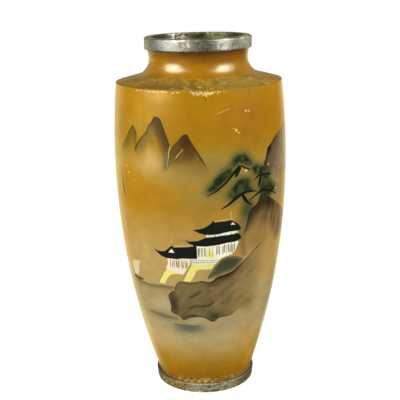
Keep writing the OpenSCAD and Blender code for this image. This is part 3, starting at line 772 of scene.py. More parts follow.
def ground(az, z):
    """The ochre ground with everything that was sprayed on softly, and some painted light and shade."""
    az = (np.asarray(az) + 180) % 360 - 180
    heights, tones = zip(*GROUND)
    coat = Coat(az, z, np.stack([np.interp(z, heights, channel) for channel in zip(*tones)], 1))
    # Sprayed clouds, with painted highlight and shade among them
    for cloud in CLOUDS_AND_PAINTED_LIGHT:
        coat.dab(*cloud)
    shore = below(SHORE, az, z)
    bay = fade(az, -64, -56) * fade(az, -18, -24) * np.exp(-np.clip(shore, 0, 99) / 2.6)
    coat.tint((96, 92, 54), 0.85 * bay * fade(shore, -0.8, 0.4))
    coat.line(RIPPLES[0], (104, 104, 66), 0.8, 1.3)
    coat.dab((-13, 67), (10, 3.2), (98, 110, 88), 0.85, 3)
    coat.line(RIPPLES[1], (96, 96, 60), 0.7, 0.8)
    coat.dab((30, 183), (13, 13), (148, 120, 54), 0.9, 3)
    coat.dab((60, 184), (14, 18), (152, 130, 88), 0.9, 3)
    coat.dab((46, 186), (8, 9), (60, 54, 28), 0.85, 3)
    gaps = fade(needle_gaps(az, z), 0.62, 0.4)
    for cloud in NEEDLE_CLOUDS:
        out = outside(cloud, az, z)
        coat.tint((110, 104, 50), 0.6 * fade(out, 7, 1))
        coat.tint((58, 68, 32), 0.75 * fade(out, 3, -2.4))
        coat.tint((26, 42, 22), 0.9 * gaps * fade(out, 1.2, -3.4))
    coat.line([(28, 152), (27.5, 144), (29, 134)], (128, 100, 54), 0.7, 3)
    low = fade(z, 16, 10.4) * fade(np.abs(az - 4), 50, 22)
    coat.specks((216, 198, 142), 0.9 * low, 4, 2.4, 71, 0.50, 0.58)
    coat.specks((104, 78, 26), 0.7 * low, 5, 3, 72, 0.52, 0.62)
    coat.dab((31, 170), (6, 10), (58, 64, 38), 0.9, 3)
    coat.dab((27, 158), (5, 12), (118, 106, 54), 0.7)
    return coat.tones


def on_ground(az, z):
    """A coat that starts as the ground, for cells that fade into it."""
    return Coat(az, z, ground(az, z))


def far_peak(az, z):
    """A mist of brown under a dark crest."""
    coat = on_ground(az, z)
    coat.crest(FAR_CREST, (116, 92, 30), 0.9 * fade(z, 212, 228), 22, 3)
    coat.edge(FAR_CREST[2:], (70, 56, 20), 0.9 * fade(z, 226, 234), 1.5, 0.3)
    return coat.tones


def tall_peak(az, z):
    """Dark along its right flank, pale in the middle of its foot."""
    coat = on_ground(az, z)
    flank = TALL_CREST[7:] + PEAK_GULLY[1:]
    coat.crest(TALL_CREST, (136, 108, 50), 0.9 * fade(z, 212, 224), 20, 5)
    coat.edge(flank, (84, 60, 18), 0.95 * fade(z, 208, 234), 13, 2)
    coat.edge(flank, (108, 104, 62), 0.85 * fade(z, 226, 218) * fade(z, 202, 210), 7, 0.5)
    coat.specks((92, 66, 24), 0.4 * fade(z, 218, 230), 1.6, 12, 51, 0.45, 0.7)
    coat.dab((-32, 214), (6.5, 11), (206, 170, 96), 0.8, 3)
    coat.edge(TALL_CREST, (66, 48, 20), 0.85, 1.8, 0.3)
    coat.dab((-34.8, 240.5), (1.2, 1.2), (150, 140, 90), 0.8)
    return coat.tones


def near_peak(az, z):
    """Brown, brushed steeply, and dark along its crest."""
    coat = on_ground(az, z)
    body = fade(z, 205, 223)
    coat.tint((102, 78, 22), 0.95 * body)
    coat.dab((-8.5, 230), (4, 8), (78, 44, 14), 0.9, 3)
    coat.dab((-7, 222), (2, 3), (112, 62, 34), 0.6)
    coat.brush((70, 50, 18), 65, 0.35 * body, 52)
    coat.edge(NEAR_CREST[3:], (70, 50, 16), 0.9 * fade(z, 206, 216), 1.8, 0.3)
    coat.edge(PEAK_GULLY, (92, 92, 54), 0.7 * fade(z, 205, 212), 4, 0.5)
    coat.line(NEAR_CREASE, (188, 152, 88), 0.5, 0.5)
    return coat.tones


def mountain(az, z):
    """Dark at its left edge, and lost in the ground behind its back slope."""
    coat = on_ground(az, z)
    body = fade(az, 110, 78) * fade(z, 188, 204)
    coat.tint((102, 84, 58), 0.95 * body)
    coat.tint((156, 130, 94), 0.95 * body * fade(az - 0.3 * (z - 205), 50, 64))
    coat.brush((92, 70, 42), 80, 0.35 * body, 53)
    coat.edge(MOUNTAIN_CREST, (58, 42, 18), 0.85 * fade(az, 66, 50), 5, 0.8)
    coat.specks((168, 140, 112), 0.6 * fade(z, 210, 200) * fade(az, 70, 62), 3, 3, 54, 0.64, 0.7)
    coat.dab((48.6, 217.5), (2.8, 3.6), (30, 24, 12), 1)
    coat.crest(MOUNTAIN_BACK, (112, 84, 44), 0.6 * fade(az, 66, 78) * fade(z, 194, 210), 7, 1)
    return mix(coat.tones, ground(az, z), fade(below(MOUNTAIN_BACK, az, z), 0.5, -0.5))


def rock(az, z):
    """Dark at its crown, streaked down its face, and lost in the ground to the right."""
    coat = on_ground(az, z)
    body = fade(z - 148 + 15 * fade(az, 48, 62), 0, 16)
    coat.tint((126, 98, 54), 0.9 * body)
    coat.tint((152, 122, 80), 0.85 * fade(az, 48, 64) * fade(z, 136, 150) * fade(az, 105, 78))
    coat.brush((96, 56, 30), 76, 0.55 * body, 55, 18, 1.8)
    coat.brush((70, 60, 36), 72, 0.5 * body, 56, 16, 3)
    coat.brush((176, 146, 92), 74, 0.35 * body, 62, 16, 2.4)
    coat.crest(ROCK_CREST, (44, 36, 20), 0.95 * fade(z, 158, 174) * fade(az, 62, 48), 19, 4)
    coat.edge(ROCK_CREST[:8], (62, 50, 26), 0.85 * fade(z, 148, 168), 9, 1.0)
    coat.edge(ROCK_CREST[1:7], (40, 32, 18), 0.85 * fade(z, 146, 160), 2.2, 0.4)
    return mix(coat.tones, ground(az, z), fade(az, 78, 94))


def ledge(az, z):
    """Olive, brushed along its length, cracked, and dark along its edges."""
    coat = on_ground(az, z)
    body = fade(az, 50, 24)
    coat.tint((126, 108, 64), 0.95 * body)
    coat.tint((156, 128, 74), 0.8 * body * fade(az, 14, 30))
    coat.brush((154, 130, 80), 24, 0.5 * body, 57, 16, 4)
    coat.brush((86, 70, 42), 30, 0.40 * body, 58, 12, 3)
    coat.crest(LEDGE_TOP, (84, 64, 34), 0.65 * fade(az, -4, 10) * fade(az, 38, 24), 11, 1)
    coat.crest(LEDGE_TOP, (46, 36, 18), 0.95 * blob(az, z, (17, 118), (11, 9), 3), 5, 0.5)
    coat.dab((-6, 92), (9, 9), (112, 104, 62), 0.7)
    coat.dab((-23, 90), (4, 10), (62, 48, 38), 0.85, 3)
    coat.dab((-19, 91), (2.4, 5), (112, 96, 84), 0.5)
    coat.dab((8, 79), (5, 4), (58, 58, 36), 0.85)
    coat.dab((14, 91.5), (2, 1.2), (118, 60, 40), 0.6)
    for crack in LEDGE_CRACKS:
        coat.line([(p[0], p[1] - 0.9) for p in crack], (62, 50, 28), 0.8, 0.9)
    coat.edge(LEDGE_TOP[:13], (54, 42, 22), 0.7 * fade(az, 30, 18), 1.8, 0.3)
    coat.edge(LEDGE_TOP[11:], (84, 62, 32), 0.7 * fade(az, 47, 40), 1.4, 0.3)
    coat.edge(LEDGE_FOOT[2:], (66, 56, 32), 0.6 * fade(az, 34, 16), 2.2, 0.4)
    coat.dab((6, 106), (1.6, 1.0), (178, 160, 96), 0.7)
    return coat.tones


def moss(az, z):
    """Pale at its rim and dark within."""
    coat = on_ground(az, z)
    coat.tint((128, 120, 74), np.full(len(az), 0.9))
    coat.tint((78, 84, 54), 0.95 * fade(outside(MOSS, az, z), -0.6, -3.4))
    coat.dab((15, 127), (8, 4), (62, 66, 44), 0.8)
    coat.brush((52, 58, 40), 30, 0.35, 59, 8, 2)
    return coat.tones


def even(tone, other, scale=0.3, extra=(0, 0, 0), where=None):
    """A paint that wanders a little between two tones, with an extra tone over it by the mask where."""
    def paint(az, z):
        coat = Coat(az, z, tone)
        x, y, h = turned_places(az, body_r(np.clip(z, 0, SHOULDER_Z)), z)
        coat.tint(other, cloudy(x * scale, y * scale, h * scale, 7))
        if where:
            coat.tint(extra, where(az, z))
        return coat.tones
    return paint


# ---------------------------------------------------------------- the coats
FRONT_AZ = np.linspace(-82, 82, 260, endpoint=False)
BACK_AZ = np.linspace(82, 278, 78, endpoint=False)
WALL_AZ = np.concatenate([FRONT_AZ, BACK_AZ])
EVEN_AZ = np.linspace(-180, 180, 420, endpoint=False)
COARSE_AZ = np.linspace(-180, 180, 144, endpoint=False)
BODY_ENAMEL = enamel("ground_enamel", 0.10)
CELL_ENAMEL = enamel("cell_enamel", 0.08)


def body_ground():
    """The body's coat, in rows that lie closer near the foot and near the shoulder's edge."""
    top = SHOULDER_Z - 0.1
    rows = np.concatenate([np.linspace(FOOT_H, 16.5, 16), np.linspace(17.4, 261, 224),
                           np.linspace(261.4, top, 18)])
    outer = [(float(body_r(z)) + GROUND_LIFT, z) for z in rows]
    inner = [(float(body_r(z)) - ENAMEL_T, z) for z in np.linspace(top, FOOT_H, 14)]
    turned("Body_ground", outer + inner, WALL_AZ, BODY_ENAMEL, paint=ground, sharp=50,
           nodes=["body_enamel"], slot="ground")


def neck_paint(az, z):
    """Painted shade under the collar, lighter on the left and deeper at the front, clear ochre at the
    waist, and a scuffed olive shoulder with painted light at its far sides.
    """
    coat = Coat(az, z, (170, 117, 0))
    # Painted shade under the collar's overhang, with painted light on its left, where the light falls
    under = fade(z, 287, 294.5)
    coat.tint((98, 48, 4), under)
    coat.tint((150, 108, 24), 0.8 * under * fade(az, -8, -30) * fade(az, -140, -100))
    # Painted shade: the front just under the collar is darker
    coat.tint((134, 84, 0), 0.6 * fade(z, 283, 288) * fade(az, -16, -4) * fade(az, 120, 80))
    slope = fade(z, 278, 272)
    calm = slope * fade(np.abs(az), 178, 155)
    coat.tint((152, 110, 0), slope)
    coat.dab((34, 270), (26, 8), (158, 124, 36), 0.8 * slope, 4)
    coat.dab((-26, 268.4), (34, 4), (124, 88, 4), 0.7 * slope, 4)
    coat.specks((108, 80, 8), 0.7 * calm, 5, 0.8, 41, 0.45, 0.7)
    worn = fade(cloudy(az / 14, z / 3, 0, 43), 0.35, 0.6)
    coat.specks((226, 196, 116), 0.9 * calm * worn, 1.6, 0.45, 42, 0.54, 0.72)
    # Painted light: the far sides of the shoulder, which the softboxes hardly reach, are lighter
    coat.tint((176, 130, 40), 0.5 * slope * fade(np.abs(az), 64, 88))
    coat.tint((118, 84, 16), 0.6 * fade(z, 268.6, 267.9) * fade(az, 12, 24))
    coat.dab((-1, 267.7), (5.5, 0.9), (222, 200, 158), 0.9, 4)
    return coat.tones


def neck_ground():
    profile = neck_profile()
    outer = divided([(r + GROUND_LIFT / 2, z) for r, z in profile], 0.8)
    inner = [(r - ENAMEL_T, z - 0.5) for r, z in profile[::-1][::6]]
    turned("Neck_ground", [*outer, *inner], EVEN_AZ, enamel("neck_enamel", 0.12, SCUFFED_Z),
           paint=neck_paint, sharp=50, nodes=["neck_enamel"], slot="shoulder_ground")


def uneven(az, r, z, wide, tall, seed):
    """Noise for the shape of a ring, with features about wide by tall millimetres."""
    x, y = r * np.cos(np.radians(az)), r * np.sin(np.radians(az))
    return cloudy(x / wide, y / wide, z / tall, seed)


def patches(az, r, z, wide, tall, seed, none, full):
    """A mask of patches on a ring, about wide by tall millimetres, where the noise passes none."""
    x, y, h = turned_places(az, r, z)
    return fade(cloudy(x / wide, y / wide, h / tall, seed), none, full)


def collar_paint(az, z):
    """Painted highlights and shade round the collar, a darker top to the lip, pale mottles, greener and
    duller at the sides.
    """
    band = VASE_H - 6
    coat = Coat(az, z, (111, 113, 126))
    coat.tint((114, 121, 120), fade(np.abs(az), 35, 60))
    # The dark tint at the front is painted shade
    for middle, spread, tone in COLLAR_TONES:
        coat.dab((middle, band), (spread, 20), tone, 1, 4)
    coat.tint((86, 88, 72), 0.6 * patches(az, COLLAR_R, z, 3, 2, 21, 0.5, 0.72))
    coat.tint((164, 168, 178), 0.7 * patches(az, COLLAR_R, z, 1.2, 1.0, 22, 0.55, 0.75))
    # Painted shade: the top of the lip is darker, which dulls its highlight; then painted highlights and
    # shade by azimuth
    light = 1 - 0.25 * fade(z, VASE_H - 2.6, VASE_H - 1.4)
    for middle, spread, change in COLLAR_LIGHTS:
        light = light + change * blob(az, z, (middle, band), (spread, 20), 4)
    return coat.tones * light[:, None]


def collar():
    """The collar, rounded at its hem, its crown and its lip, and dented all over."""
    low_z, top, outer_r = COLLAR_Z + CLEAR, VASE_H - CLEAR, COLLAR_R - CLEAR
    hem, crown, lip = 0.6, 2.0, 1.2
    section = [(MOUTH_R, low_z), (outer_r - 0.5, low_z)]
    section += arc((outer_r - hem, low_z + hem), hem, -90, 0, 4)
    section += arc((outer_r - crown, top - crown), crown, 0, 90, 8)
    section += arc((MOUTH_R + lip, top - lip), lip, 90, 180, 6)
    section = divided_loop(section, 0.7)
    inner = []

    def dented(az, r, z):
        inner.append(fade(r, MOUTH_R + 1.0, MOUTH_R + 0.3))
        dip = 0.22 * (uneven(az, r, z, 14, 14, 3) - 0.2) + 0.14 * uneven(az, r, z, 1.8, 1.4, 4)
        deep = 0.4 * fade(uneven(az, r, z, 2.4, 2, 8), 0.62, 0.8)
        out = np.where(r > (outer_r + MOUTH_R) / 2, 1, -1)
        return r - out * (dip + deep) * 0.6, z - (dip + deep) * fade(z, top - 3, top)

    def tarnished(az, z):
        """Dark inside the mouth, where the tarnish has flaked at the back."""
        band = VASE_H - 4
        coat = Coat(az, z, collar_paint(az, z))
        coat.tint((36, 34, 28), 0.95 * inner[0])
        flaked = inner[0] * fade(cloudy(az / 3, z / 1.4, 0, 23), 0.44, 0.56)
        coat.dab((-154, band), (17, 14), (140, 140, 152), flaked, 4)
        coat.dab((152, band), (30, 14), (24, 28, 18), 0.9 * inner[0], 4)
        coat.dab((150, band), (32, 14), (58, 70, 58), 0.7 * flaked, 4)
        return coat.tones

    metal = worn_metal("collar_metal", (78, 78, 62), 0.42)
    turned("Rim_collar", section, EVEN_AZ, metal, shape=dented, paint=tarnished, nodes=["rim_collar"],
           slot="collar_metal")


def foot():
    """The foot ring, with rounded edges, a rebate inside and a corroded outer face."""
    r = FOOT_R - CLEAR
    seat = FLOOR_Z - 1.2
    edge, taper = 0.9, 0.8
    section = [(FOOT_BORE_R, seat)]
    section += arc((FOOT_BORE_R + edge, edge), edge, 180, 270, 5)
    section += arc((r - taper - edge, edge), edge, -90, 0, 5)
    section += arc((r - edge, FOOT_H - edge), edge, 0, 90, 5)
    section += [(REBATE_R, FOOT_H), (REBATE_R, seat)]
    section = divided_loop(section, 0.6)

    def corroded(az, r, z):
        rough = 0.35 * uneven(az, r, z, 2.4, 2.0, 11) + 0.5 * fade(uneven(az, r, z, 5, 3, 12), 0.58, 0.75)
        return r - rough * fade(r, 41.5, 43) * fade(z, 0, 1), z

    def verdigris_and_shade(az, z):
        """Ochre, with a pale worn front and a dark line under the enamel, which is painted shade and dulls
        the highlight on the ring's top.
        """
        coat = Coat(az, z, (104, 80, 22))
        coat.dab((-36, 5), (20, 30), (140, 108, 24), 0.9, 4)
        coat.dab((8, 5), (30, 30), (162, 162, 140), 1, 4)
        coat.tint((64, 54, 24), 0.85 * patches(az, r, z, 3, 2, 31, 0.45, 0.7))
        bright = patches(az, r, z, 1.4, 1.2, 32, 0.58, 0.7)
        coat.tint((200, 182, 120), 0.75 * bright)
        coat.dab((10, 5), (26, 30), (216, 214, 204), 0.8 * bright, 4)
        # Painted shade along the ring's top, under the enamel's edge; less of it at the worn front
        top = fade(z, FOOT_H - 1.4, FOOT_H - 0.5)
        worn = blob(az, z, (4, FOOT_H), (40, 4), 4)
        coat.tint((38, 28, 8), (0.95 - 0.4 * worn) * top)
        coat.tint((164, 150, 100), 0.6 * top * worn * patches(az, r, z, 1.1, 0.8, 33, 0.5, 0.62))
        return coat.tones

    metal = worn_metal("foot_metal", (58, 50, 26), 0.6, metallic=0.3, lines=1800, pits=600)
    turned("Foot_ring", section, EVEN_AZ, metal, shape=corroded, paint=verdigris_and_shade, sharp=50,
           nodes=["foot_ring"], slot="foot_metal")


def lining():
    gap = COPPER_IN + CLEAR
    low_z = FLOOR_Z + CLEAR
    wall = [(float(body_r(z)) - gap, z) for z in np.linspace(FLOOR_Z + 1, SHOULDER_Z - 1.5, 60)]
    neck = [(r - gap, z - 1.6) for r, z in neck_profile()[::3] if r < 66]
    side = wall + neck + [(neck[-1][0], COLLAR_Z + 6.5)]
    inner = [(r - LINING_T, z) for r, z in side[::-1]]
    high_z = FLOOR_Z + LINING_T
    flat_r = 30
    section = [(0, low_z), (flat_r, low_z)] + side + inner + [(flat_r, high_z), (0, high_z)]
    glaze = dark_glaze("lining_glaze", (58, 50, 44), (206, 186, 176), 0.66)
    turned("Lining", section, COARSE_AZ, glaze, sharp=60, nodes=["lining_enamel"], slot="lining")


def base():
    glaze = dark_glaze("base_glaze", (34, 44, 44), (120, 120, 104), 0.7)
    under = [(r, GLAZE_LOW) for r in (0, 20, GLAZE_R)]
    section = under + [(r, GLAZE_HIGH) for r, _ in under[::-1]]
    turned("Base_glaze", section, COARSE_AZ, glaze, sharp=60, nodes=["base_enamel"], slot="base_glaze")


# ---------------------------------------------------------------- the cells and wires
def cell(name, outlines, paint, lift, node="", slot="", **kw):
    """Cells that stand for a CAD node, which is called after the piece unless given. The slot, named the
    same way, is passed on but not used.
    """
    key = name.lower()
    return cells(name, outlines, paint, lift, nodes=[node or key + "_enamel"], slot=slot or key, **kw)


def peaks():
    cell("Far_peak", [FAR_CREST + [(-45, 214), (-52, 211), (-62, 212)]], far_peak, LOW_LIFT)
    cell("Tall_peak", [TALL_CREST + [(-20, 217), (-21.5, 205), (-30, 209), (-40, 213)]], tall_peak,
         MID_LIFT)
    cell("Near_peak", [[(-20.5, 207), (-19.8, 217)] + NEAR_CREST + [(5, 205), (-6, 202), (-15, 203)]],
         near_peak, TOP_LIFT)


def cliffs():
    far_side = [(92, 228), (104, 212), (104, 196), (88, 186), (66, 184), (52, 190)]
    cell("Mountain", [MOUNTAIN_CREST + far_side], mountain, LOW_LIFT)
    cell("Rock", [ROCK_CREST + [(96, 148), (96, 128), (75, 126), (56, 132), (44, 146)]], rock, MID_LIFT)
    cell("Ledge", [LEDGE_TOP + [(56, 130), (58, 108)] + LEDGE_FOOT], ledge, LOW_LIFT)
    cell("Moss", [MOSS], moss, MID_LIFT)


def hall():
    def side_walls(az, z):
        return 0.8 * fade(az, -7.5, -9.5)

    white = even((255, 253, 232), (250, 244, 214), extra=(252, 230, 206), where=side_walls)
    cell("Hall_walls", [CLERESTORY, HALL_WALLS, SIDE_WALLS], white, MID_LIFT, "wall_panel_enamel", "white",
         rounded=False)
    cell("Terraces", [LEFT_TERRACE, RIGHT_TERRACE], even((246, 230, 104), (252, 242, 160)), LOW_LIFT,
         "terrace_enamel", "yellow", rounded=False)
    for level, outline in (("Upper", UPPER_ROOF), ("Middle", MIDDLE_ROOF), ("Lower", LOWER_ROOF)):
        cell(level + "_roof", [outline], even((22, 26, 22), (36, 38, 30)), TOP_LIFT, slot="roof",
             rounded=False)
    cells("Gables", [LOWER_GABLE, UPPER_GABLE], white, WIRE_LIFT, rounded=False, slot="white")
    cells("Doorway", [DOOR, SIDE_DOOR], even((244, 226, 96), (250, 238, 130)), TOP_LIFT, rounded=False,
          slot="yellow")


def needle_lines():
    """Short tapered strokes strewn over the needle clouds, thinner towards their edges."""
    rng = np.random.default_rng(5)
    lines = []
    for cloud in NEEDLE_CLOUDS:
        p = smooth(cloud, closed=True)
        lo, hi = p.min(0) - 0.6, p.max(0) + 0.6
        count = int((hi[0] - lo[0]) * (hi[1] - lo[1]) * NEEDLE_DENSITY)
        az, z = rng.uniform(lo[0], hi[0], count), rng.uniform(lo[1], hi[1], count)
        depth = outside(cloud, az, z)
        chance = fade(depth, 0.6, -3.2) * fade(needle_gaps(az, z), 0.7, 0.45)
        keep = rng.uniform(0, 1, count) < chance
        for a, h in zip(az[keep], z[keep]):
            turn = rng.normal(math.pi / 2, 0.8)
            size = rng.uniform(1.4, 3.0)
            da, dh = math.cos(turn) * size / 3, math.sin(turn) * size / 2
            lines.append([(a - da, h - dh, 0.35), (a, h, 0.28), (a + da, h + dh, 0.12)])
    return lines


def pine():
    def over_mountain(az, z):
        return 0.6 * fade(az, 38, 47)

    green = even((20, 36, 20), (42, 56, 30), 0.6, (66, 58, 40), over_mountain)
    strokes("Pine_branches", BRANCHES, even((20, 20, 18), (34, 30, 24)), TOP_LIFT,
            nodes=["pine_branch_enamel"], slot="pine_wood")
    strokes("Pine_needles", needle_lines(), green, MID_LIFT, nodes=["pine_needle_enamel"],
            slot="pine_needles")


def boat():
    """The sail and the hull."""
    cell("Sail", [SAIL], even((238, 226, 184), (216, 198, 150)), TOP_LIFT)
    cell("Hull", [HULL], even((70, 58, 28), (96, 80, 44)), TOP_LIFT)


def water():
    band = [(-58, 101), (-56, 103.4), (-40, 103.6), (-23, 105.4), (-23, 102), (-40, 100.5)]
    cell("Water", [band], ground, LOW_LIFT)


def wires():
    metal = worn_metal("wire_metal", (110, 92, 50), 0.4)

    def at_finials(az, z):
        return 0.9 * np.max([fade(away(finial, az, z), 1.2, 0.6) for finial in FINIALS], axis=0)

    def wire(name, lines, width=0.3, paint=even((210, 196, 140), (180, 160, 100))):
        """Wires that stand for the CAD node of the same name."""
        strokes(name, [wired(line, width) for line in lines], paint, material=metal, nodes=[name.lower()],
                slot="wire_metal")

    wire("Peak_wires", [PEAK_GULLY, NEAR_CREASE])
    wire("Rock_wires", [ROCK_CREST[7:]], 0.25, even((128, 100, 56), (104, 80, 44)))
    wire("Ledge_wires", LEDGE_CRACKS, 0.25, even((150, 136, 84), (120, 104, 60)))
    wire("Roof_wires", RIDGES + FINIALS, 0.55,
         even((255, 252, 232), (246, 236, 206), extra=(240, 178, 118), where=at_finials))
    wire("Terrace_wires", TERRACE_RAILS, 0.4, even((150, 150, 70), (170, 166, 84)))
    wire("Pine_wires", TWIGS)
    wire("Boat_wires", [RAIL])
    posts = [[(-2.4 + 2.3 * i, 134.6 + 0.18 * i), (-2.4 + 2.3 * i, 142.6 + 0.1 * i)] for i in range(11)]
    posts += [[(-22.5 + 2.8 * i, 123.5), (-22.5 + 2.8 * i, 131.2)] for i in range(5)]
    sills = [[(-8.2, 131.6), (11, 131)], [(-8, 129.6), (9.4, 129.3)]]
    wire("Column_wires", posts + sills, 0.35, even((120, 110, 76), (168, 156, 116)))
    wire("Water_wires", [SHORE, RIPPLES[1]], 0.3, even((110, 104, 60), (140, 130, 80)))


def window_ticks():
    """Posts, screens and small ticks painted on the white walls, each a little different."""
    rng = np.random.default_rng(31)

    def tick(az, low_z, high_z, width):
        lean, cut = rng.uniform(-0.3, 0.3), rng.uniform(0, 1.2)
        ends = [(az + lean, low_z + cut), (az, high_z - rng.uniform(0, 1.2))]
        return wired(ends, width * rng.uniform(0.7, 1.3))

    faint = [tick(a, 134.6 + 0.08 * a, 142.8 + 0.06 * a, 0.7) for a in FAINT_AZ]
    faint += [tick(-7.4 + 1.5 * i, 128.2, 131.2, 0.3) for i in range(11)]
    faint += [tick(-22.6 + 2.1 * i, 124, 131.6, 0.5) for i in range(6)]
    dark = [tick(a, 135 + 0.1 * a, 143 + 0.1 * a, 0.7) for a in DARK_AZ]
    dark += [tick(a, 123.6, 130, 0.7) for a in SIDE_AZ]
    dark += [tick(4.5 + 3.6 * i, 150.8 + 0.2 * i, 153.2 + 0.26 * i, 0.7) for i in range(6)]
    strokes("Faint_screens", faint, even((176, 168, 120), (150, 140, 92), 1.0), WIRE_LIFT + 0.01)
    strokes("Window_ticks", dark, even((124, 114, 70), (150, 138, 92), 1.0), WIRE_LIFT + 0.02)


def flake(rng, az, z, wide, tall):
    """A jagged outline of a chip, wide degrees by tall millimetres."""
    turns = np.sort(rng.uniform(0, 2 * math.pi, 9))
    reach = rng.uniform(0.28, 0.55, 9)
    return [(az + wide * r * math.cos(t), min(z + tall * r * math.sin(t), SHOULDER_Z - 0.15))
            for t, r in zip(turns, reach)]


def flakes(name, rng, spots, paint, lift=WIRE_LIFT):
    """Chips at the spots, each with an outline of its own."""
    cells(name, [flake(rng, *spot) for spot in spots], paint, lift, rounded=False, grid=CHIP_GRID)


def brush_marks():
    """Loose strokes at the left edge, and the pale gaps left in the pine."""
    strokes("Red_stroke", [RED_STROKE], even((92, 36, 8), (120, 60, 10)), TOP_LIFT)
    strokes("Olive_strokes", OLIVE_STROKES, even((120, 104, 40), (150, 132, 60)), TOP_LIFT)
    flakes("Pale_gaps", np.random.default_rng(23), PALE_GAPS, even((244, 232, 170), (206, 190, 116)))


def chips():
    """Worn spots along the shoulder's edge and above the foot, where the pale ground coat shows, and
    three pits and two scratches."""
    rng = np.random.default_rng(17)
    flakes("Small_chips", rng, SMALL_CHIPS, even((250, 228, 140), (222, 188, 92), 1.2))
    large = [(-5 + 1.5 * i, 266.8 - 0.9 * (i % 2), 3.0, 2.2) for i in range(8)]
    large += [(-3.2 + 1.7 * i, 264.9 - 0.4 * (i % 2), 2.2, 1.3) for i in range(4)]
    flakes("Bruised_edge", rng, large, even((226, 200, 146), (176, 144, 84), 1.6))
    broken = [(-3.6 + 2.6 * i, 266.3 - 0.8 * (i % 2), 2.2, 1.6) for i in range(4)]
    broken += [(4 + 1.5 * i, 265.5 + 0.7 * (i % 2), 3.0, 2.4) for i in range(4)]
    flakes("Broken_edge", rng, broken + BROKEN_CHIPS, even((252, 232, 150), (222, 188, 92), 1.4),
           WIRE_LIFT + 0.02)
    flakes("Dark_pits", rng, PITS, even((52, 34, 8), (90, 60, 16), 1.0))
    near_foot = [(rng.uniform(-26, 36), 10.6 + 3.4 * rng.uniform() ** 2, rng.uniform(2, 5),
                  rng.uniform(0.9, 2.2)) for _ in range(12)]
    flakes("Foot_chips", rng, near_foot, even((204, 180, 108), (164, 128, 48), 1.4))
    strokes("Scratch", SCRATCHES, even((214, 190, 120), (196, 164, 84)))


def carried():
    """The copper and its seams stay as the CAD made them, under the coats."""
    materials = {
        "body_wall": copper("copper_body", (184, 108, 70)),
        "neck_shoulder": copper("copper_neck", (188, 112, 74)),
        "base_plate": copper("copper_floor", (170, 100, 66)),
        "shoulder_solder": dark_glaze("solder_top", (158, 154, 140), (90, 86, 70), 0.6),
        "base_solder": dark_glaze("solder_foot", (150, 146, 130), (84, 80, 66), 0.6)}
    for node, material in materials.items():
        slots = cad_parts[node].data.materials
        slots.clear()
        slots.append(material)


# ---------------------------------------------------------------- floor, light and camera
# Brightness of the white sweep behind the vase, and of everything else around it
SWEEP = 0.4
DIM = 0.08
# Brightness of the backdrop and of the floor as the camera sees them
BACKDROP = 0.97
FLOOR_GLOW = 1.0
# Radius of the floor in metres, and the number of its corners
FLOOR_R = 40
FLOOR_CORNERS = 96
# Tint of the softboxes in the glaze
WARM = (1.0, 0.92, 0.62)
# Tint of the white backdrop in the glaze
HAZE = (1.04, 0.95, 0.52)
WHITE = (1.0, 1.0, 1.0)
# Metres from a softbox to the point it is aimed at
SOFTBOX_FAR = 1.15
SOFTBOX_AIM = Vector((0, 0, 0.2))
# The photographer's camera: place in metres, turns in radians, lens and sensor in millimetres
EYE = (0, -0.70505, 0.35387)
PITCH = 0.2683
YAW = -0.0100
ROLL = -0.0253
LENS = 75.2
SENSOR = 36
SHIFT_X = 0.0164
SHIFT_Y = 0.0093


def floor():
    """A plain pale floor, bright enough to meet the white backdrop. Its mirror image in the glaze is
    white behind the vase and dark in front, where the photographer's side is unlit."""
    mesh = bpy.data.meshes.new("Floor")
    ring = [(FLOOR_R * math.cos(t), FLOOR_R * math.sin(t), 0)
            for t in np.linspace(0, 2 * math.pi, FLOOR_CORNERS, endpoint=False)]
    mesh.from_pydata(ring, [], [tuple(range(FLOOR_CORNERS))])
    material = bpy.data.materials.new("pale_floor")
    m = Nodes(material)
    way = m.add("ShaderNodeVectorMath", operation="NORMALIZE")
    m.put(way.inputs[0], m.place)
    ahead = m.split(way.outputs["Vector"])
    reach = m.add("ShaderNodeVectorMath", operation="LENGTH")
    m.put(reach.inputs[0], m.place)
    start = m.ramp(reach.outputs["Value"], 0.06, 0.2, -0.1, 0.35)
    behind = m.math("MULTIPLY_ADD", m.math("MAXIMUM", ahead["X"], 0.0), -0.3, ahead["Y"])
    mirrored = m.ramp(behind, start, m.math("ADD", start, 0.4), 0.0, FLOOR_GLOW)
    tone = float(linear([90])[0])
    m.set(Base_Color=m.tinted("Is Glossy Ray", (0.0, 0.0, 0.0), (tone, tone, tone)), Roughness=0.8)
    m.set(Specular_IOR_Level=0.0, Emission_Color=m.tinted("Is Glossy Ray", HAZE, WHITE))
    m.set(Emission_Strength=m.by_ray("Is Glossy Ray", mirrored, FLOOR_GLOW))
    mesh.materials.append(material)
    obj = bpy.data.objects.new("Floor", mesh)
    bpy.context.scene.collection.objects.link(obj)


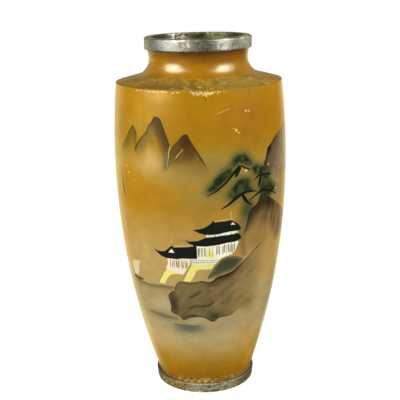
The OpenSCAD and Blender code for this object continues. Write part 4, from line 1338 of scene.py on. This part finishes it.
def softbox(name, azimuth, elevation, wide, tall, power, shine):
    """An area light aimed at the vase: power lights the colours, and shine is what the gloss mirrors."""
    a, e = math.radians(azimuth), math.radians(elevation)
    way = Vector((math.sin(a) * math.cos(e), -math.cos(a) * math.cos(e), math.sin(e)))
    for part, energy, tint in (("colour", power, WHITE), ("gloss", shine, WARM)):
        light = bpy.data.lights.new(name + "_" + part, "AREA")
        light.shape = "RECTANGLE"
        light.size, light.size_y = wide, tall
        light.energy = energy
        light.color = tint
        obj = bpy.data.objects.new(light.name, light)
        obj.location = SOFTBOX_AIM + way * SOFTBOX_FAR
        obj.rotation_euler = way.to_track_quat("Z", "Y").to_euler()
        obj.visible_diffuse = part == "colour"
        obj.visible_glossy = part == "gloss"
        obj.visible_camera = False
        bpy.context.scene.collection.objects.link(obj)


def studio():
    """A low white sweep behind, dim elsewhere, and a tall softbox each side of the camera."""
    world = bpy.data.worlds.new("studio")
    bpy.context.scene.world = world
    m = Nodes(world, "Background", "Generated")
    way = m.split(m.place)
    behind = m.ramp(way["Y"], 0.3, 0.7, 0.0, SWEEP, "SMOOTHSTEP")
    under = m.ramp(way["Z"], 0.42, 0.62, 1.0, 0.0, "SMOOTHSTEP")
    sweep = m.math("MULTIPLY_ADD", behind, under, m.by_ray("Is Glossy Ray", DIM / 8, DIM))
    m.set(Strength=m.by_ray("Is Camera Ray", BACKDROP, sweep))
    m.set(Color=m.tinted("Is Glossy Ray", HAZE, WHITE))
    softbox("Left_softbox", -62, 33, 0.64, 0.82, 9.8, 106)
    softbox("Right_softbox", 66, 38, 0.48, 0.70, 9.4, 100)
    bpy.context.scene.view_settings.view_transform = "Standard"


def camera():
    ahead = Vector((math.sin(YAW) * math.cos(PITCH), math.cos(YAW) * math.cos(PITCH), -math.sin(PITCH)))
    level = ahead.cross(Vector((0, 0, 1))).normalized()
    upright = level.cross(ahead)
    right = level * math.cos(ROLL) + upright * math.sin(ROLL)
    up = upright * math.cos(ROLL) - level * math.sin(ROLL)
    data = bpy.data.cameras.new("Camera")
    data.sensor_width = SENSOR
    data.lens = LENS
    data.shift_x = SHIFT_X
    data.shift_y = SHIFT_Y
    obj = bpy.data.objects.new("Camera", data)
    obj.matrix_world = Matrix.Translation(EYE) @ Matrix((right, up, -ahead)).transposed().to_4x4()
    bpy.context.scene.collection.objects.link(obj)
    bpy.context.scene.camera = obj


camera()
studio()
floor()
body_ground()
neck_ground()
collar()
foot()
lining()
base()
peaks()
cliffs()
hall()
pine()
boat()
water()
wires()
window_ticks()
brush_marks()
chips()
carried()
